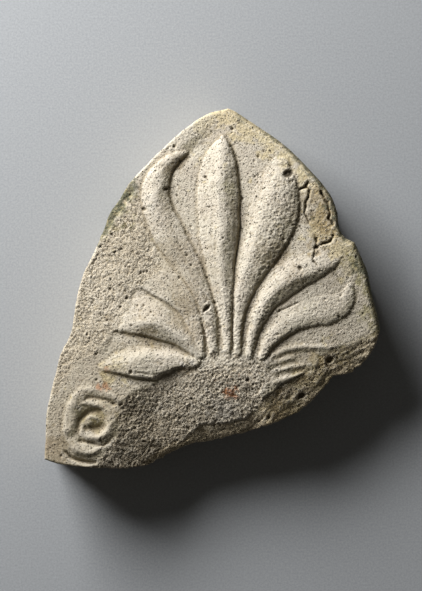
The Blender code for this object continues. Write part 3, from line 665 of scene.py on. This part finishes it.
# Each pit: its place and half-lengths in squares, its turn in degrees and its
# depth in metres. PIT_FLOOR above 1 leaves a flat floor.
PITS = [(162.5, 161.5, 4.6, 1.8, 42, 0.0018), (244, 296, 5, 4, 20, 0.0014), (256, 202, 2.6, 2.2, 0, 0.0010),
        (122, 281, 2.4, 2.0, 0, 0.0010), (100, 261, 2.6, 2.0, 0, 0.0010), (286, 110, 4.2, 3.2, 30, 0.0014),
        (258, 74, 4.0, 3.0, 10, 0.0014), (87, 98, 2.2, 2.0, 0, 0.0008)]
PIT_FLOOR = 1.3

# Each crack: its share of CRACK_WIDTH and of CRACK_DEPTH, and its line.
CRACKS = [(0.9, [(264, 288), (262, 284), (265, 280), (264, 273), (262, 267), (261, 258), (263, 252), (265, 248)]),
          (0.8, [(255, 280), (259, 282), (264, 282)]),
          (1.0, [(277, 280), (281, 272), (284, 263), (286, 258), (285, 251), (289, 246)]),
          (1.0, [(289, 234), (287, 229), (282, 227), (276, 225), (273, 222)]),
          (0.9, [(272, 231), (273, 225), (270, 221), (270, 216), (269, 211), (272, 205)]),
          (0.55, [(234, 158), (246, 164), (256, 168)]), (0.5, [(92, 97.5), (106, 95), (118, 96.5)])]
CRACK_DEPTH = 0.0018
CRACK_WIDTH = 0.00058
CRACK_WANDER_UP = 0.8
CRACK_WANDER_SIZE = 4
CRACK_SWELL = (0.85, 0.4)
CRACK_SWELL_SIZE = 3.1

# Grit: fine sand, coarser in clouds, and wider lumps. It stands higher where the
# clay is broken or pitted, and lower on the long break.
GRIT_HEIGHT = 0.00030
SAND = 1.1
SAND_CLOUD = 4.4
SAND_CLOUD_FROM = 0.1
GRIT_LUMP = 0.16
GRIT_LUMP_SIZE = 5.2
GRIT_SWELL = 0.12
GRIT_SWELL_SIZE = 9
GRIT_ON_SKIN = 0.75
GRIT_ON_BREAK = 1.35
GRIT_ON_PITTED = 0.7
GRIT_LOST_FAR = 0.5
CUT_SPAN = (0.0003, 0.0010)

# Pitted patches of the skin. Each rises over a span across, falls over the next,
# and rises and falls over two spans upwards.
BELOW_SHEET = (-2, -1)
PITTED = [((205, 225), (245, 262), (215, 240), (292, 302)), ((148, 160), (222, 240), BELOW_SHEET, (150, 200)),
          ((128, 138), (156, 160), (84, 92), (112, 118)), ((206, 214), (232, 242), (190, 200), (222, 234))]


def pores(x, y, cell, radius, depth, share, seed, more):
    """Depth of small round holes scattered one to a cell; more raises their number."""
    rng = np.random.default_rng(seed)
    across, along, width, chance = (rng.random((PORE_TABLE, PORE_TABLE)) for _ in range(4))
    u = x / cell
    v = y / cell
    found = np.zeros(x.shape)
    for di in (-1, 0, 1):
        for dj in (-1, 0, 1):
            i = np.floor(u).astype(int) + di
            j = np.floor(v).astype(int) + dj
            a, b = i % PORE_TABLE, j % PORE_TABLE
            reach = radius * (PORE_WIDTHS[0] + PORE_WIDTHS[1] * width[a, b] ** 2) / cell
            off = np.hypot(u - i - across[a, b], v - j - along[a, b]) / reach
            bowl = np.clip(1 - off ** 2, 0.0, 1.0) * (PORE_DEPTHS[0] + PORE_DEPTHS[1] * width[a, b])
            found = np.maximum(found, np.where(chance[a, b] < share * more, bowl, 0.0))
    return depth * found


def weathered(x, y, height, broken, far):
    """The face's height with its pores, pits, cracks and grit cut in, and where the cuts are."""
    more = 1.0 + BROKEN_PORES * broken
    metres_x = x * SQUARE
    metres_y = y * SQUARE
    cut = np.zeros(x.shape)
    for cell, radius, depth, share, seed in PORES:
        cut = np.maximum(cut, pores(metres_x, metres_y, cell, radius, depth, share, seed, more))
    for px, py, long, wide, turn, depth in PITS:
        c, s = math.cos(math.radians(turn)), math.sin(math.radians(turn))
        across = (x - px) * c + (y - py) * s
        along = (y - py) * c - (x - px) * s
        bowl = np.clip(PIT_FLOOR - (across / long) ** 2 - (along / wide) ** 2, 0.0, 1.0)
        cut = np.maximum(cut, depth * bowl)
    wander = grain(x, y, CRACK_WANDER_SIZE, 61)
    for width, crack in CRACKS:
        gap, run, side, starts = nearest(x + wander, y + CRACK_WANDER_UP * wander, np.array(crack, float))
        ragged = width * (CRACK_SWELL[0] + CRACK_SWELL[1] * grain(x, y, CRACK_SWELL_SIZE, 62))
        cut = np.maximum(cut, ragged * CRACK_DEPTH * np.exp(-(gap * SQUARE / (ragged * CRACK_WIDTH)) ** 2))
    sand = np.random.default_rng(70)
    coarse_sand = grain(x, y, SAND_CLOUD, 71) > SAND_CLOUD_FROM
    fine = sand.random(x.shape) - 0.5 + (sand.random(x.shape) - 0.5) * coarse_sand
    grit = SAND * fine + GRIT_LUMP * grain(x + y, y - x, GRIT_LUMP_SIZE, 72)
    grit = grit + GRIT_SWELL * grain(x, y, GRIT_SWELL_SIZE, 73)
    pitted = np.zeros(x.shape)
    for x_rise, x_fall, y_rise, y_fall in PITTED:
        pitted += ease(x, *x_rise) * (1 - ease(x, *x_fall)) * ease(y, *y_rise) * (1 - ease(y, *y_fall))
    gritty = GRIT_ON_SKIN + GRIT_ON_BREAK * np.maximum(broken, GRIT_ON_PITTED * pitted)
    height = height - cut + GRIT_HEIGHT * grit * gritty * (1 - GRIT_LOST_FAR * far)
    return height, ease(cut, *CUT_SPAN)


# The piece itself: the carved front on a half-millimetre grid that ends in a
# strip along the outline, broken sides that lean in below it, and the flat
# back it lies on. It stands for the CAD solid of the same form.
GRID = 0.00052
OUTLINE_STEP = 0.0006
ROUGH_OUTLINE_STEP = 0.0046
EDGE_AHEAD = 3
NEAR_OUTLINE = 5
STRIP_GAP = 0.8
UNDER_CAD_TOP = 0.00002
SAME_PLACE = 1e-6

# The sides: rows from the front's edge to the back, how far they lean in, and
# their lumps, as shares of SIDE_GRIT with their sizes.
SIDE_ROWS = 12
SIDE_LEAN = 0.0014
SIDE_LEAN_CURVE = 0.7
SIDE_LEAN_SIZE = 0.012
SIDE_GRIT = 0.0006
SIDE_LUMPS = ((0.6, 0.0045, 81), (0.4, 0.0017, 82))
SIDE_GRIT_IN = 3
NIBBLE_HEALS = 2.5

# The nibbled edge: EDGE_NIBBLE where it is torn, at the foot, and less elsewhere.
EDGE_NIBBLE = 0.0010
WORN_NIBBLE = 0.3
TORN_BELOW = (100, 150)
TORN_RIGHT_OF = (20, 50)
NIBBLES = ((0.32, 0.0030, 84), (0.25, 0.0012, 85))

# Stains and darker patches: where each lies, how far it reaches and how strong it is.
OCHRE = [(184, 356, 22, 0.9), (205, 345, 24, 0.9), (228, 330, 20, 0.9), (246, 315, 18, 0.8), (262, 300, 18, 0.9),
         (278, 280, 18, 1.0), (285, 262, 18, 1.0), (282, 240, 20, 0.9), (296, 228, 18, 0.9), (306, 226, 16, 0.9),
         (304, 205, 14, 0.5), (160, 350, 20, 0.5), (64, 101, 10, 0.8), (60, 97, 7, 1.0), (76, 106, 10, 0.4),
         (274, 110, 12, 0.7), (262, 92, 16, 0.5), (230, 60, 16, 0.5), (60, 55, 10, 0.5), (20, 160, 12, 0.4)]
GREEN = [(50, 48, 12, 0.7), (40, 56, 9, 0.6), (185, 280, 9, 0.6), (62, 246, 14, 1.0), (70, 262, 12, 1.0),
         (80, 276, 10, 1.0), (320, 205, 18, 1.0), (328, 180, 18, 1.0), (333, 158, 16, 0.9), (336, 140, 12, 0.7),
         (314, 226, 10, 0.8), (300, 255, 8, 0.7), (212, 352, 6, 0.8), (250, 318, 6, 0.7), (282, 90, 14, 0.5),
         (250, 62, 18, 0.5), (300, 112, 12, 0.5)]
BROWN = [(252, 193, 14, 0.6), (104, 137, 14, 0.7), (46, 45, 26, 0.3), (128, 215, 24, 0.4), (142, 188, 22, 0.35),
         (222, 212, 16, 0.6), (236, 222, 12, 0.5), (140, 160, 20, 0.7), (148, 142, 15, 0.6), (142, 104, 10, 0.8),
         (134, 308, 8, 0.9), (128, 300, 6, 0.7), (272, 275, 16, 0.9), (282, 262, 14, 1.0), (284, 244, 15, 1.0),
         (276, 228, 12, 0.8), (268, 250, 12, 0.8), (292, 232, 10, 0.6), (288, 282, 10, 0.7), (256, 98, 12, 0.6),
         (268, 116, 10, 0.6), (236, 60, 18, 0.5), (196, 34, 22, 0.2), (120, 26, 34, 0.4), (10, 22, 20, 0.8),
         (290, 112, 20, 0.4), (96, 14, 18, 0.4)]
RUST = [(187, 76, 7, 1.0), (183, 78, 6, 1.0), (191, 73, 5, 1.0), (54, 82, 5, 0.6), (60, 84, 3, 0.6),
        (62, 101, 4, 0.6)]
LICHENS = [(286, 272, 6, 1.0), (289, 262, 6, 1.0), (291, 252, 6, 1.0), (282, 282, 5, 0.9), (58, 240, 10, 1.0),
           (62, 248, 11, 1.0), (68, 257, 11, 1.0), (75, 266, 11, 1.0), (81, 275, 10, 1.0), (86, 284, 9, 0.8),
           (54, 232, 8, 0.5), (256, 311, 7, 0.8), (263, 305, 7, 0.9), (270, 298, 8, 0.9), (277, 290, 8, 1.0),
           (283, 282, 9, 1.0), (288, 273, 9, 1.0), (291, 265, 8, 1.0), (294, 256, 8, 1.0), (197, 356, 8, 0.6),
           (224, 340, 6, 0.5), (314, 222, 7, 0.7), (319, 212, 8, 0.9), (324, 200, 8, 1.0), (328, 189, 8, 1.0),
           (331, 177, 8, 1.0), (334, 165, 8, 0.9), (336, 152, 7, 0.8), (337, 140, 6, 0.6), (296, 246, 6, 0.8)]
# Darker patches, most of them on the left and round the lower left corner.
DARKER_PATCHES = [(96, 122, 24, 0.6), (54, 50, 22, 0.5), (110, 165, 18, 0.5), (34, 26, 50, 0.7), (250, 114, 24, 0.8),
         (232, 216, 16, 0.8), (158, 200, 26, 0.6), (20, 40, 60, 1.0), (40, 100, 70, 0.8), (20, 150, 50, 0.6),
         (60, 60, 60, 0.9), (85, 232, 46, 0.7), (120, 195, 34, 0.5), (50, 130, 36, 0.6), (70, 200, 40, 0.4),
         (20, 10, 40, 0.8), (272, 262, 26, 0.8), (128, 218, 26, 0.8), (138, 178, 26, 0.8)]
CHALK = [(184, 60, 13, 0.7), (176, 66, 9, 0.5), (139, 106, 4, 0.9), (147, 107, 4, 0.9), (107, 262, 7, 0.5),
         (106, 272, 6, 0.5), (36, 62, 4, 0.6), (44, 36, 6, 0.6), (52, 30, 5, 0.6), (180, 118, 3, 0.5),
         (205, 113, 4, 0.5)]

# How ragged the stains' edges are, and the share of their reach that is full.
STAIN_RAGGED = ((0.5, 9, 0), (0.5, 3, 100))
STAIN_SPAN = (0.45, 1.0)

# The crust along the right edge, above the break: its strength, how ragged and
# how wide it is, and where it starts from the left and from the foot.
CRUST = 0.9
CRUST_RAGGED = 3
CRUST_RAGGED_SIZE = 5
CRUST_SPAN = (1.5, 4.5)
CRUST_FROM_LEFT = (196, 236)
CRUST_FROM_FOOT = (118, 150)

# How the stains run down the sides in clouds that fade towards the back.
SIDE_STAIN = 0.8
SIDE_CLOUD = (0.55, 0.9)
SIDE_CLOUD_LONG = 0.036
SIDE_CLOUD_SIZE = 0.010
SIDE_STAIN_FADE = 0.45

# Hollows, which take soil and painted shade, and worn edges, from the height against
# the smoothed height: the reach of each smoothing in cells and the depth that counts
# as full, in metres; and painted shade on the flanks that fall away from the lamp.
HOLLOWS = ((2, 0.0006), (6, 0.0030))
LAMP_HEADING_FOR_SHADE = (-0.63, 0.78)
PAINTED_SHADE_SPAN = (0.04, 0.36)
PAINTED_SHADE_LOST = 0.8


def stained(x, y, spots, seed):
    """How strongly each place is stained, from 0 to 1, with ragged edges."""
    found = np.zeros(x.shape)
    ragged = 1 + sum(share * grain(x, y, size, seed + more) for share, size, more in STAIN_RAGGED)
    for middle_x, middle_y, reach, strength in spots:
        out = np.hypot(x - middle_x, y - middle_y) / reach * ragged
        found = np.maximum(found, strength * (1 - ease(out, *STAIN_SPAN)))
    return found


def blurred(field, known, reach):
    """The field smoothed over a reach of cells on every side, where it is known."""
    total = np.where(known, field, 0.0)
    weight = known.astype(float)
    for _ in range(2):
        for axis in (0, 1):
            total = sum(np.roll(total, shift, axis) for shift in range(-reach, reach + 1))
            weight = sum(np.roll(weight, shift, axis) for shift in range(-reach, reach + 1))
    return total / np.maximum(weight, 1e-9)


def in_metres(places, heights):
    """Points in metres: squares counted from the sheet's middle, and a height."""
    across = (places[:, 0] / SHEET_WIDE - 0.5) * WIDTH
    along = (places[:, 1] / SHEET_LONG - 0.5) * LENGTH
    return np.column_stack([across, along, heights])


coarse = outline_ring(ROUGH_OUTLINE_STEP)
ring = outline_ring(OUTLINE_STEP)
count = len(ring)
run = np.arange(count) * OUTLINE_STEP
closed = np.vstack([ring[-EDGE_AHEAD:], ring, ring[:EDGE_AHEAD]])
along = closed[2 * EDGE_AHEAD:] - closed[:-2 * EDGE_AHEAD]
inward = np.column_stack([along[:, 1], -along[:, 0]])
inward /= np.hypot(inward[:, 0], inward[:, 1])[:, None]
if not inside(np.array([ring[0, 0] + inward[0, 0]]), np.array([ring[0, 1] + inward[0, 1]]), ring)[0]:
    inward = -inward
low_on_right = (1 - ease(ring[:, 1], *TORN_BELOW)) * ease(ring[:, 0], *TORN_RIGHT_OF)
torn = WORN_NIBBLE + (1 - WORN_NIBBLE) * low_on_right
nibble = 0.5
for share, size, seed in NIBBLES:
    nibble = nibble + share * grain(run, run * 0, size, seed)
bite = inward * (torn * EDGE_NIBBLE * np.clip(nibble, 0, 1) / SQUARE)[:, None]
ring = ring + bite
cell = GRID / SQUARE
grid_x, grid_y = np.meshgrid(np.arange(cell / 2, SHEET_WIDE, cell), np.arange(cell / 2, SHEET_LONG, cell))
keep = inside(grid_x, grid_y, ring)
flat_x, flat_y = grid_x[keep], grid_y[keep]
near_ring = nearest(flat_x, flat_y, np.vstack([coarse, coarse[:1]]))[0]
close = near_ring < NEAR_OUTLINE
near_ring[close] = nearest(flat_x[close], flat_y[close], np.vstack([ring, ring[:1]]))[0]
to_edge = np.zeros(keep.shape)
to_edge[keep] = near_ring
keep[keep] = near_ring > STRIP_GAP * cell
cells = keep[:-1, :-1] & keep[1:, :-1] & keep[:-1, 1:] & keep[1:, 1:]
outer = np.pad(cells, 1)
full_cells = sum(outer[a:a + keep.shape[0], b:b + keep.shape[1]].astype(int) for a in (0, 1) for b in (0, 1))
used = full_cells > 0
rims = used & (full_cells < 4)
number = np.full(keep.shape, -1)
number[used] = np.arange(used.sum())
grid_count = int(used.sum())

flat = np.vstack([np.column_stack([grid_x[used], grid_y[used]]), ring])
height, broken, far = face_height(flat[:, 0], flat[:, 1], coarse)
height, pierced = weathered(flat[:, 0], flat[:, 1], height, broken, far)
height = np.minimum(height, cad_box[1][2] - UNDER_CAD_TOP)

a, b = np.nonzero(cells)
quads = np.column_stack([number[a, b], number[a, b + 1], number[a + 1, b + 1], number[a + 1, b]])


def facing(places, triangles, up):
    """The triangles, turned where they have to be to face up (1) or down (-1)."""
    corners = places[triangles]
    first = corners[:, 1] - corners[:, 0]
    second = corners[:, 2] - corners[:, 0]
    turned = up * first[:, 0] * second[:, 1] < up * first[:, 1] * second[:, 0]
    triangles[turned] = triangles[turned][:, ::-1]
    return triangles


# The strip between the grid's stepped edge and the outline.
steps = []
for first, second, side_a, side_b in (
        (number[:, :-1], number[:, 1:], outer[:-1, 1:-1], outer[1:, 1:-1]),
        (number[:-1, :], number[1:, :], outer[1:-1, :-1], outer[1:-1, 1:])):
    edge = side_a != side_b
    steps.append(np.column_stack([first[edge], second[edge]]))
steps = np.vstack(steps)
corner_numbers = number[rims]
place_of = {int(n): count + k for k, n in enumerate(corner_numbers)}
points = [Vector(p) for p in ring] + [Vector(flat[n]) for n in corner_numbers]
edges = [(place_of[int(m)], place_of[int(n)]) for m, n in steps]
made, _, strip, _, _, _ = delaunay_2d_cdt(points, edges, [list(range(count))], 1, SAME_PLACE)
made = np.array([tuple(p) for p in made])
strip = np.array(strip)
middle = made[strip].mean(axis=1)
col = np.clip(np.floor(middle[:, 0] / cell - 0.5).astype(int), 0, cells.shape[1] - 1)
row = np.clip(np.floor(middle[:, 1] / cell - 0.5).astype(int), 0, cells.shape[0] - 1)
strip = strip[~cells[row, col]]
true_number = np.concatenate([grid_count + np.arange(count), corner_numbers])
strip = true_number[facing(made, strip, 1)]

# The sides, row by row from the front's edge to the edge of the back.
top = height[grid_count:]
vertices = [in_metres(flat, height)]
for index in range(1, SIDE_ROWS + 1):
    share = index / SIDE_ROWS
    level = BACK_CHAMFER + (top - BACK_CHAMFER) * (1 - share)
    bumps = 1 + sum(part * grain(run, level, size, seed) for part, size, seed in SIDE_LUMPS)
    lean = SIDE_LEAN * (1 + grain(run, level * 0.5, SIDE_LEAN_SIZE, 83)) * share ** SIDE_LEAN_CURVE
    inset = lean + SIDE_GRIT * bumps * min(1.0, SIDE_GRIT_IN * share)
    if index == SIDE_ROWS:
        level = np.full(count, BACK_CHAMFER)
    healed = min(1.0, NIBBLE_HEALS * share)
    place = ring - healed * bite + inward * inset[:, None] / SQUARE
    vertices.append(in_metres(place, level))
place = ring - bite + inward * (inset + BACK_CHAMFER)[:, None] / SQUARE
vertices.append(in_metres(place, np.zeros(count)))
everything = np.vstack(vertices)
sides = []
for index in range(SIDE_ROWS + 1):
    above = grid_count + index * count + np.arange(count)
    below = above + count
    sides.append(np.column_stack([above, below, np.roll(below, -1), np.roll(above, -1)]))
sides = np.vstack(sides)
made, _, back, _, _, _ = delaunay_2d_cdt([Vector(p) for p in place], [], [list(range(count))], 1, SAME_PLACE)
made = np.array([tuple(p) for p in made])
back = facing(made, np.array(back), -1) + len(everything) - count

antefix_mesh = bpy.data.meshes.new("carved_antefix")
antefix_mesh.from_pydata(everything.tolist(), [],
                         quads.tolist() + strip.tolist() + sides.tolist() + back.tolist())
antefix_mesh.validate()
antefix_mesh.shade_smooth()
antefix = placed("carved_antefix", antefix_mesh)

# The masks that place the clay's colours and its painted shade: read from the carved
# heights, from the stains above, and from the breaks.
levels = np.zeros(keep.shape)
levels[used] = height[:grid_count]
hollow = 0.5
for reach, depth in HOLLOWS:
    hollow = hollow + (blurred(levels, used, reach) - levels)[used] / depth
hollow = np.clip(hollow, 0.0, 1.0)
# Painted shade: flanks whose smoothed face falls away from the lamp get a darker colour.
smooth = np.where(used, blurred(levels, used, 1), 0.0)
fall_y, fall_x = np.gradient(smooth, GRID)
away_from_lamp = LAMP_HEADING_FOR_SHADE[1] * fall_y[used] + LAMP_HEADING_FOR_SHADE[0] * fall_x[used]
painted_shade = ease(away_from_lamp, *PAINTED_SHADE_SPAN) * (1 - PAINTED_SHADE_LOST * broken[:grid_count])
face_x, face_y = flat[:, 0], flat[:, 1]
stains = {name: stained(face_x, face_y, spots, seed) for name, spots, seed in (
    ("ochre", OCHRE, 91), ("green", GREEN, 92), ("brown", BROWN, 95), ("darker_patches", DARKER_PATCHES, 96),
    ("lichen", LICHENS, 97), ("rust", RUST, 93), ("chalk", CHALK, 94))}
edge_gap = np.concatenate([to_edge[used], np.zeros(count)])
edge_gap += CRUST_RAGGED * grain(face_x, face_y, CRUST_RAGGED_SIZE, 98)
crusted = (1 - ease(edge_gap, *CRUST_SPAN)) * ease(face_x, *CRUST_FROM_LEFT) * ease(face_y, *CRUST_FROM_FOOT)
stains["lichen"] = np.maximum(stains["lichen"], CRUST * crusted)

masks = {name: np.concatenate([values, np.full(len(everything) - len(values), elsewhere)])
         for name, values, elsewhere in (("broken", broken, 1.0), ("far", far, 1.0), ("pierced", pierced, 0.0),
                                         ("painted_shade", painted_shade, 0.0), ("hollow", hollow, 0.5))}
rows = (np.arange(SIDE_ROWS + 1)[:, None] + 1) / SIDE_ROWS
cloud = grain(np.tile(run, (SIDE_ROWS + 1, 1)), SIDE_CLOUD_LONG * rows + 0 * run, SIDE_CLOUD_SIZE, 86)
cloud = np.clip(SIDE_CLOUD[0] + SIDE_CLOUD[1] * cloud - SIDE_STAIN_FADE * rows, 0.0, 1.0)
for name, values in stains.items():
    masks[name] = np.concatenate([values, SIDE_STAIN * (values[grid_count:] * cloud).ravel()])
for name, values in masks.items():
    layer = antefix_mesh.attributes.new(name, "FLOAT", "POINT")
    layer.data.foreach_set("value", values.astype(np.float32))


# The clay: pale buff, dry and matt, pinker and greyer in clouds, darker and coarser
# where it is broken, yellow with weathering round the tip, with soil and painted shade
# in the hollows, painted shade in its pores, pits and cracks, and a few rusty spots.
SKIN = (0.630, 0.584, 0.487)
SKIN_PINK = (0.588, 0.528, 0.440)
FRACTURE = (0.710, 0.622, 0.490)
FRACTURE_LIGHT = (0.780, 0.705, 0.575)
# Soil and painted shade in the hollows; also the dark specks on the breaks.
SOIL_AND_SHADE = (0.300, 0.245, 0.160)
WORN_LIGHT = (0.620, 0.580, 0.505)
# Painted shade inside the pinholes and the cut pores, pits and cracks.
PORE_SHADE = (0.085, 0.070, 0.048)
LICHEN = (0.105, 0.110, 0.075)
PATCH_TINT = (0.775, 0.755, 0.710)

# The stains, with the painted shade of flanks turned from the lamp among them, in the
# order they are laid on: the mask, its strength, its colour, and whether it tints the
# clay or covers it.
STAINS = [("far", 1.0, (1.0, 0.96, 0.86), "MULTIPLY"), ("painted_shade", 1.0, (0.85, 0.84, 0.73), "MULTIPLY"),
          ("ochre", 0.85, (1.06, 0.99, 0.72), "MULTIPLY"), ("green", 0.9, (0.58, 0.58, 0.38), "MULTIPLY"),
          ("brown", 0.9, (0.66, 0.60, 0.50), "MULTIPLY"), ("rust", 0.9, (0.50, 0.155, 0.030), "MIX"),
          ("chalk", 0.6, (0.70, 0.68, 0.64), "MIX")]

# Noises, as lumps a metre, detail and roughness. Pinholes are pores at so many
# a metre, with their reach, in the clouds of a noise over a span of it.
CLOUD_NOISE = (55, 4, 0.6)
PATCH_NOISE = (240, 4, 0.65)
TONE_SPAN = (0.35, 0.65)
SPECK_NOISE = (1080, 3, 0.75)
CRUST_NOISE = (620, 3, 0.7)
CRUST_NOISE_SPAN = (0.34, 0.50)
HOLES = (520, 0.27, (330, 2, 0.5), (0.49, 0.56))
DOTS = (1000, 0.31, (410, 2, 0.5), (0.44, 0.55))

# Spans of a value, and what they are carried to.
SOIL_AND_SHADE_IN_HOLLOWS = (0.55, 1.0, 0.0, 0.6)
WEAR_ON_EDGES = (0.45, 0.15, 0.0, 0.5)
DARK_SPECKS = (0.30, 0.47, 0.75, 0.0)
LIGHT_SPECKS = (0.56, 0.72, 0.0, 0.5)
SPECKS_ON_BREAKS = (0.0, 1.0, 0.75, 1.0)
BUMPS_ON_BREAKS = (0.0, 1.0, 0.7, 1.7)
PATCH_TINT_STRENGTH = 0.9
LICHEN_STRENGTH = 0.9
PINHOLE_SHADE_STRENGTH = 0.85
PIERCED_SHADE_STRENGTH = 0.8
PINHOLE_BUMP = 0.7
BUMP_HEIGHT = 0.00075
CLAY_ROUGHNESS = 0.93
CLAY_SHEEN = 0.2

clay, tree, shader = material("terracotta")
place = tree.nodes.new("ShaderNodeTexCoord").outputs["Object"]


def attribute(name):
    """The value of one of the mesh's masks."""
    node = tree.nodes.new("ShaderNodeAttribute")
    node.attribute_name = name
    return node.outputs["Fac"]


def joined(first, second, operation="MULTIPLY"):
    """Two values, each a number or a socket, joined by an operation."""
    node = tree.nodes.new("ShaderNodeMath")
    node.operation = operation
    for socket, value in zip(node.inputs, (first, second)):
        if isinstance(value, bpy.types.NodeSocket):
            tree.links.new(value, socket)
        else:
            socket.default_value = value
    return node.outputs[0]


def clouded(noise, span):
    """A noise over the clay, carried from a span of it to 0..1."""
    return ramp_node(tree, noise_node(tree, place, *noise), *span)


def pinholes_in_clouds(scale, reach, noise, span):
    """Fine round pores in clouds: 1 in a pore and 0 between them."""
    cells = tree.nodes.new("ShaderNodeTexVoronoi")
    cells.inputs["Scale"].default_value = scale
    tree.links.new(place, cells.inputs["Vector"])
    pore = ramp_node(tree, cells.outputs["Distance"], 0.5 * reach, reach, 1.0, 0.0)
    return joined(pore, clouded(noise, span))


specks = noise_node(tree, place, *SPECK_NOISE)
pinholes = joined(pinholes_in_clouds(*HOLES), pinholes_in_clouds(*DOTS), "MAXIMUM")
crust = joined(attribute("lichen"), clouded(CRUST_NOISE, CRUST_NOISE_SPAN))
specked = ramp_node(tree, attribute("broken"), *SPECKS_ON_BREAKS)

skin = mix_node(tree, clouded(CLOUD_NOISE, TONE_SPAN), SKIN, SKIN_PINK)
open_clay = mix_node(tree, clouded(PATCH_NOISE, TONE_SPAN), FRACTURE, FRACTURE_LIGHT)
colour = mix_node(tree, attribute("broken"), skin, open_clay)
coats = [(joined(attribute(name), strength), stain, laid) for name, strength, stain, laid in STAINS]
coats += [(ramp_node(tree, attribute("hollow"), *SOIL_AND_SHADE_IN_HOLLOWS), SOIL_AND_SHADE, "MIX"),
          (ramp_node(tree, attribute("hollow"), *WEAR_ON_EDGES), WORN_LIGHT, "MIX"),
          (joined(specked, ramp_node(tree, specks, *DARK_SPECKS)), SOIL_AND_SHADE, "MIX"),
          (joined(specked, ramp_node(tree, specks, *LIGHT_SPECKS)), WORN_LIGHT, "MIX"),
          (joined(attribute("darker_patches"), PATCH_TINT_STRENGTH), PATCH_TINT, "MULTIPLY"),
          (joined(crust, LICHEN_STRENGTH), LICHEN, "MIX"),
          (joined(pinholes, PINHOLE_SHADE_STRENGTH), PORE_SHADE, "MIX"),
          (joined(attribute("pierced"), PIERCED_SHADE_STRENGTH), PORE_SHADE, "MIX")]
for factor, coat, laid in coats:
    colour = mix_node(tree, factor, colour, coat, laid)
tree.links.new(colour, shader.inputs["Base Color"])
shader.inputs["Roughness"].default_value = CLAY_ROUGHNESS
shader.inputs["Specular IOR Level"].default_value = CLAY_SHEEN

bump = tree.nodes.new("ShaderNodeBump")
bump.inputs["Distance"].default_value = BUMP_HEIGHT
coarser = joined(specks, ramp_node(tree, attribute("broken"), *BUMPS_ON_BREAKS))
tree.links.new(joined(coarser, joined(pinholes, PINHOLE_BUMP), "SUBTRACT"), bump.inputs["Height"])
tree.links.new(bump.outputs["Normal"], shader.inputs["Normal"])
antefix_mesh.materials.append(clay)

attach(antefix, "root")
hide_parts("antefix")
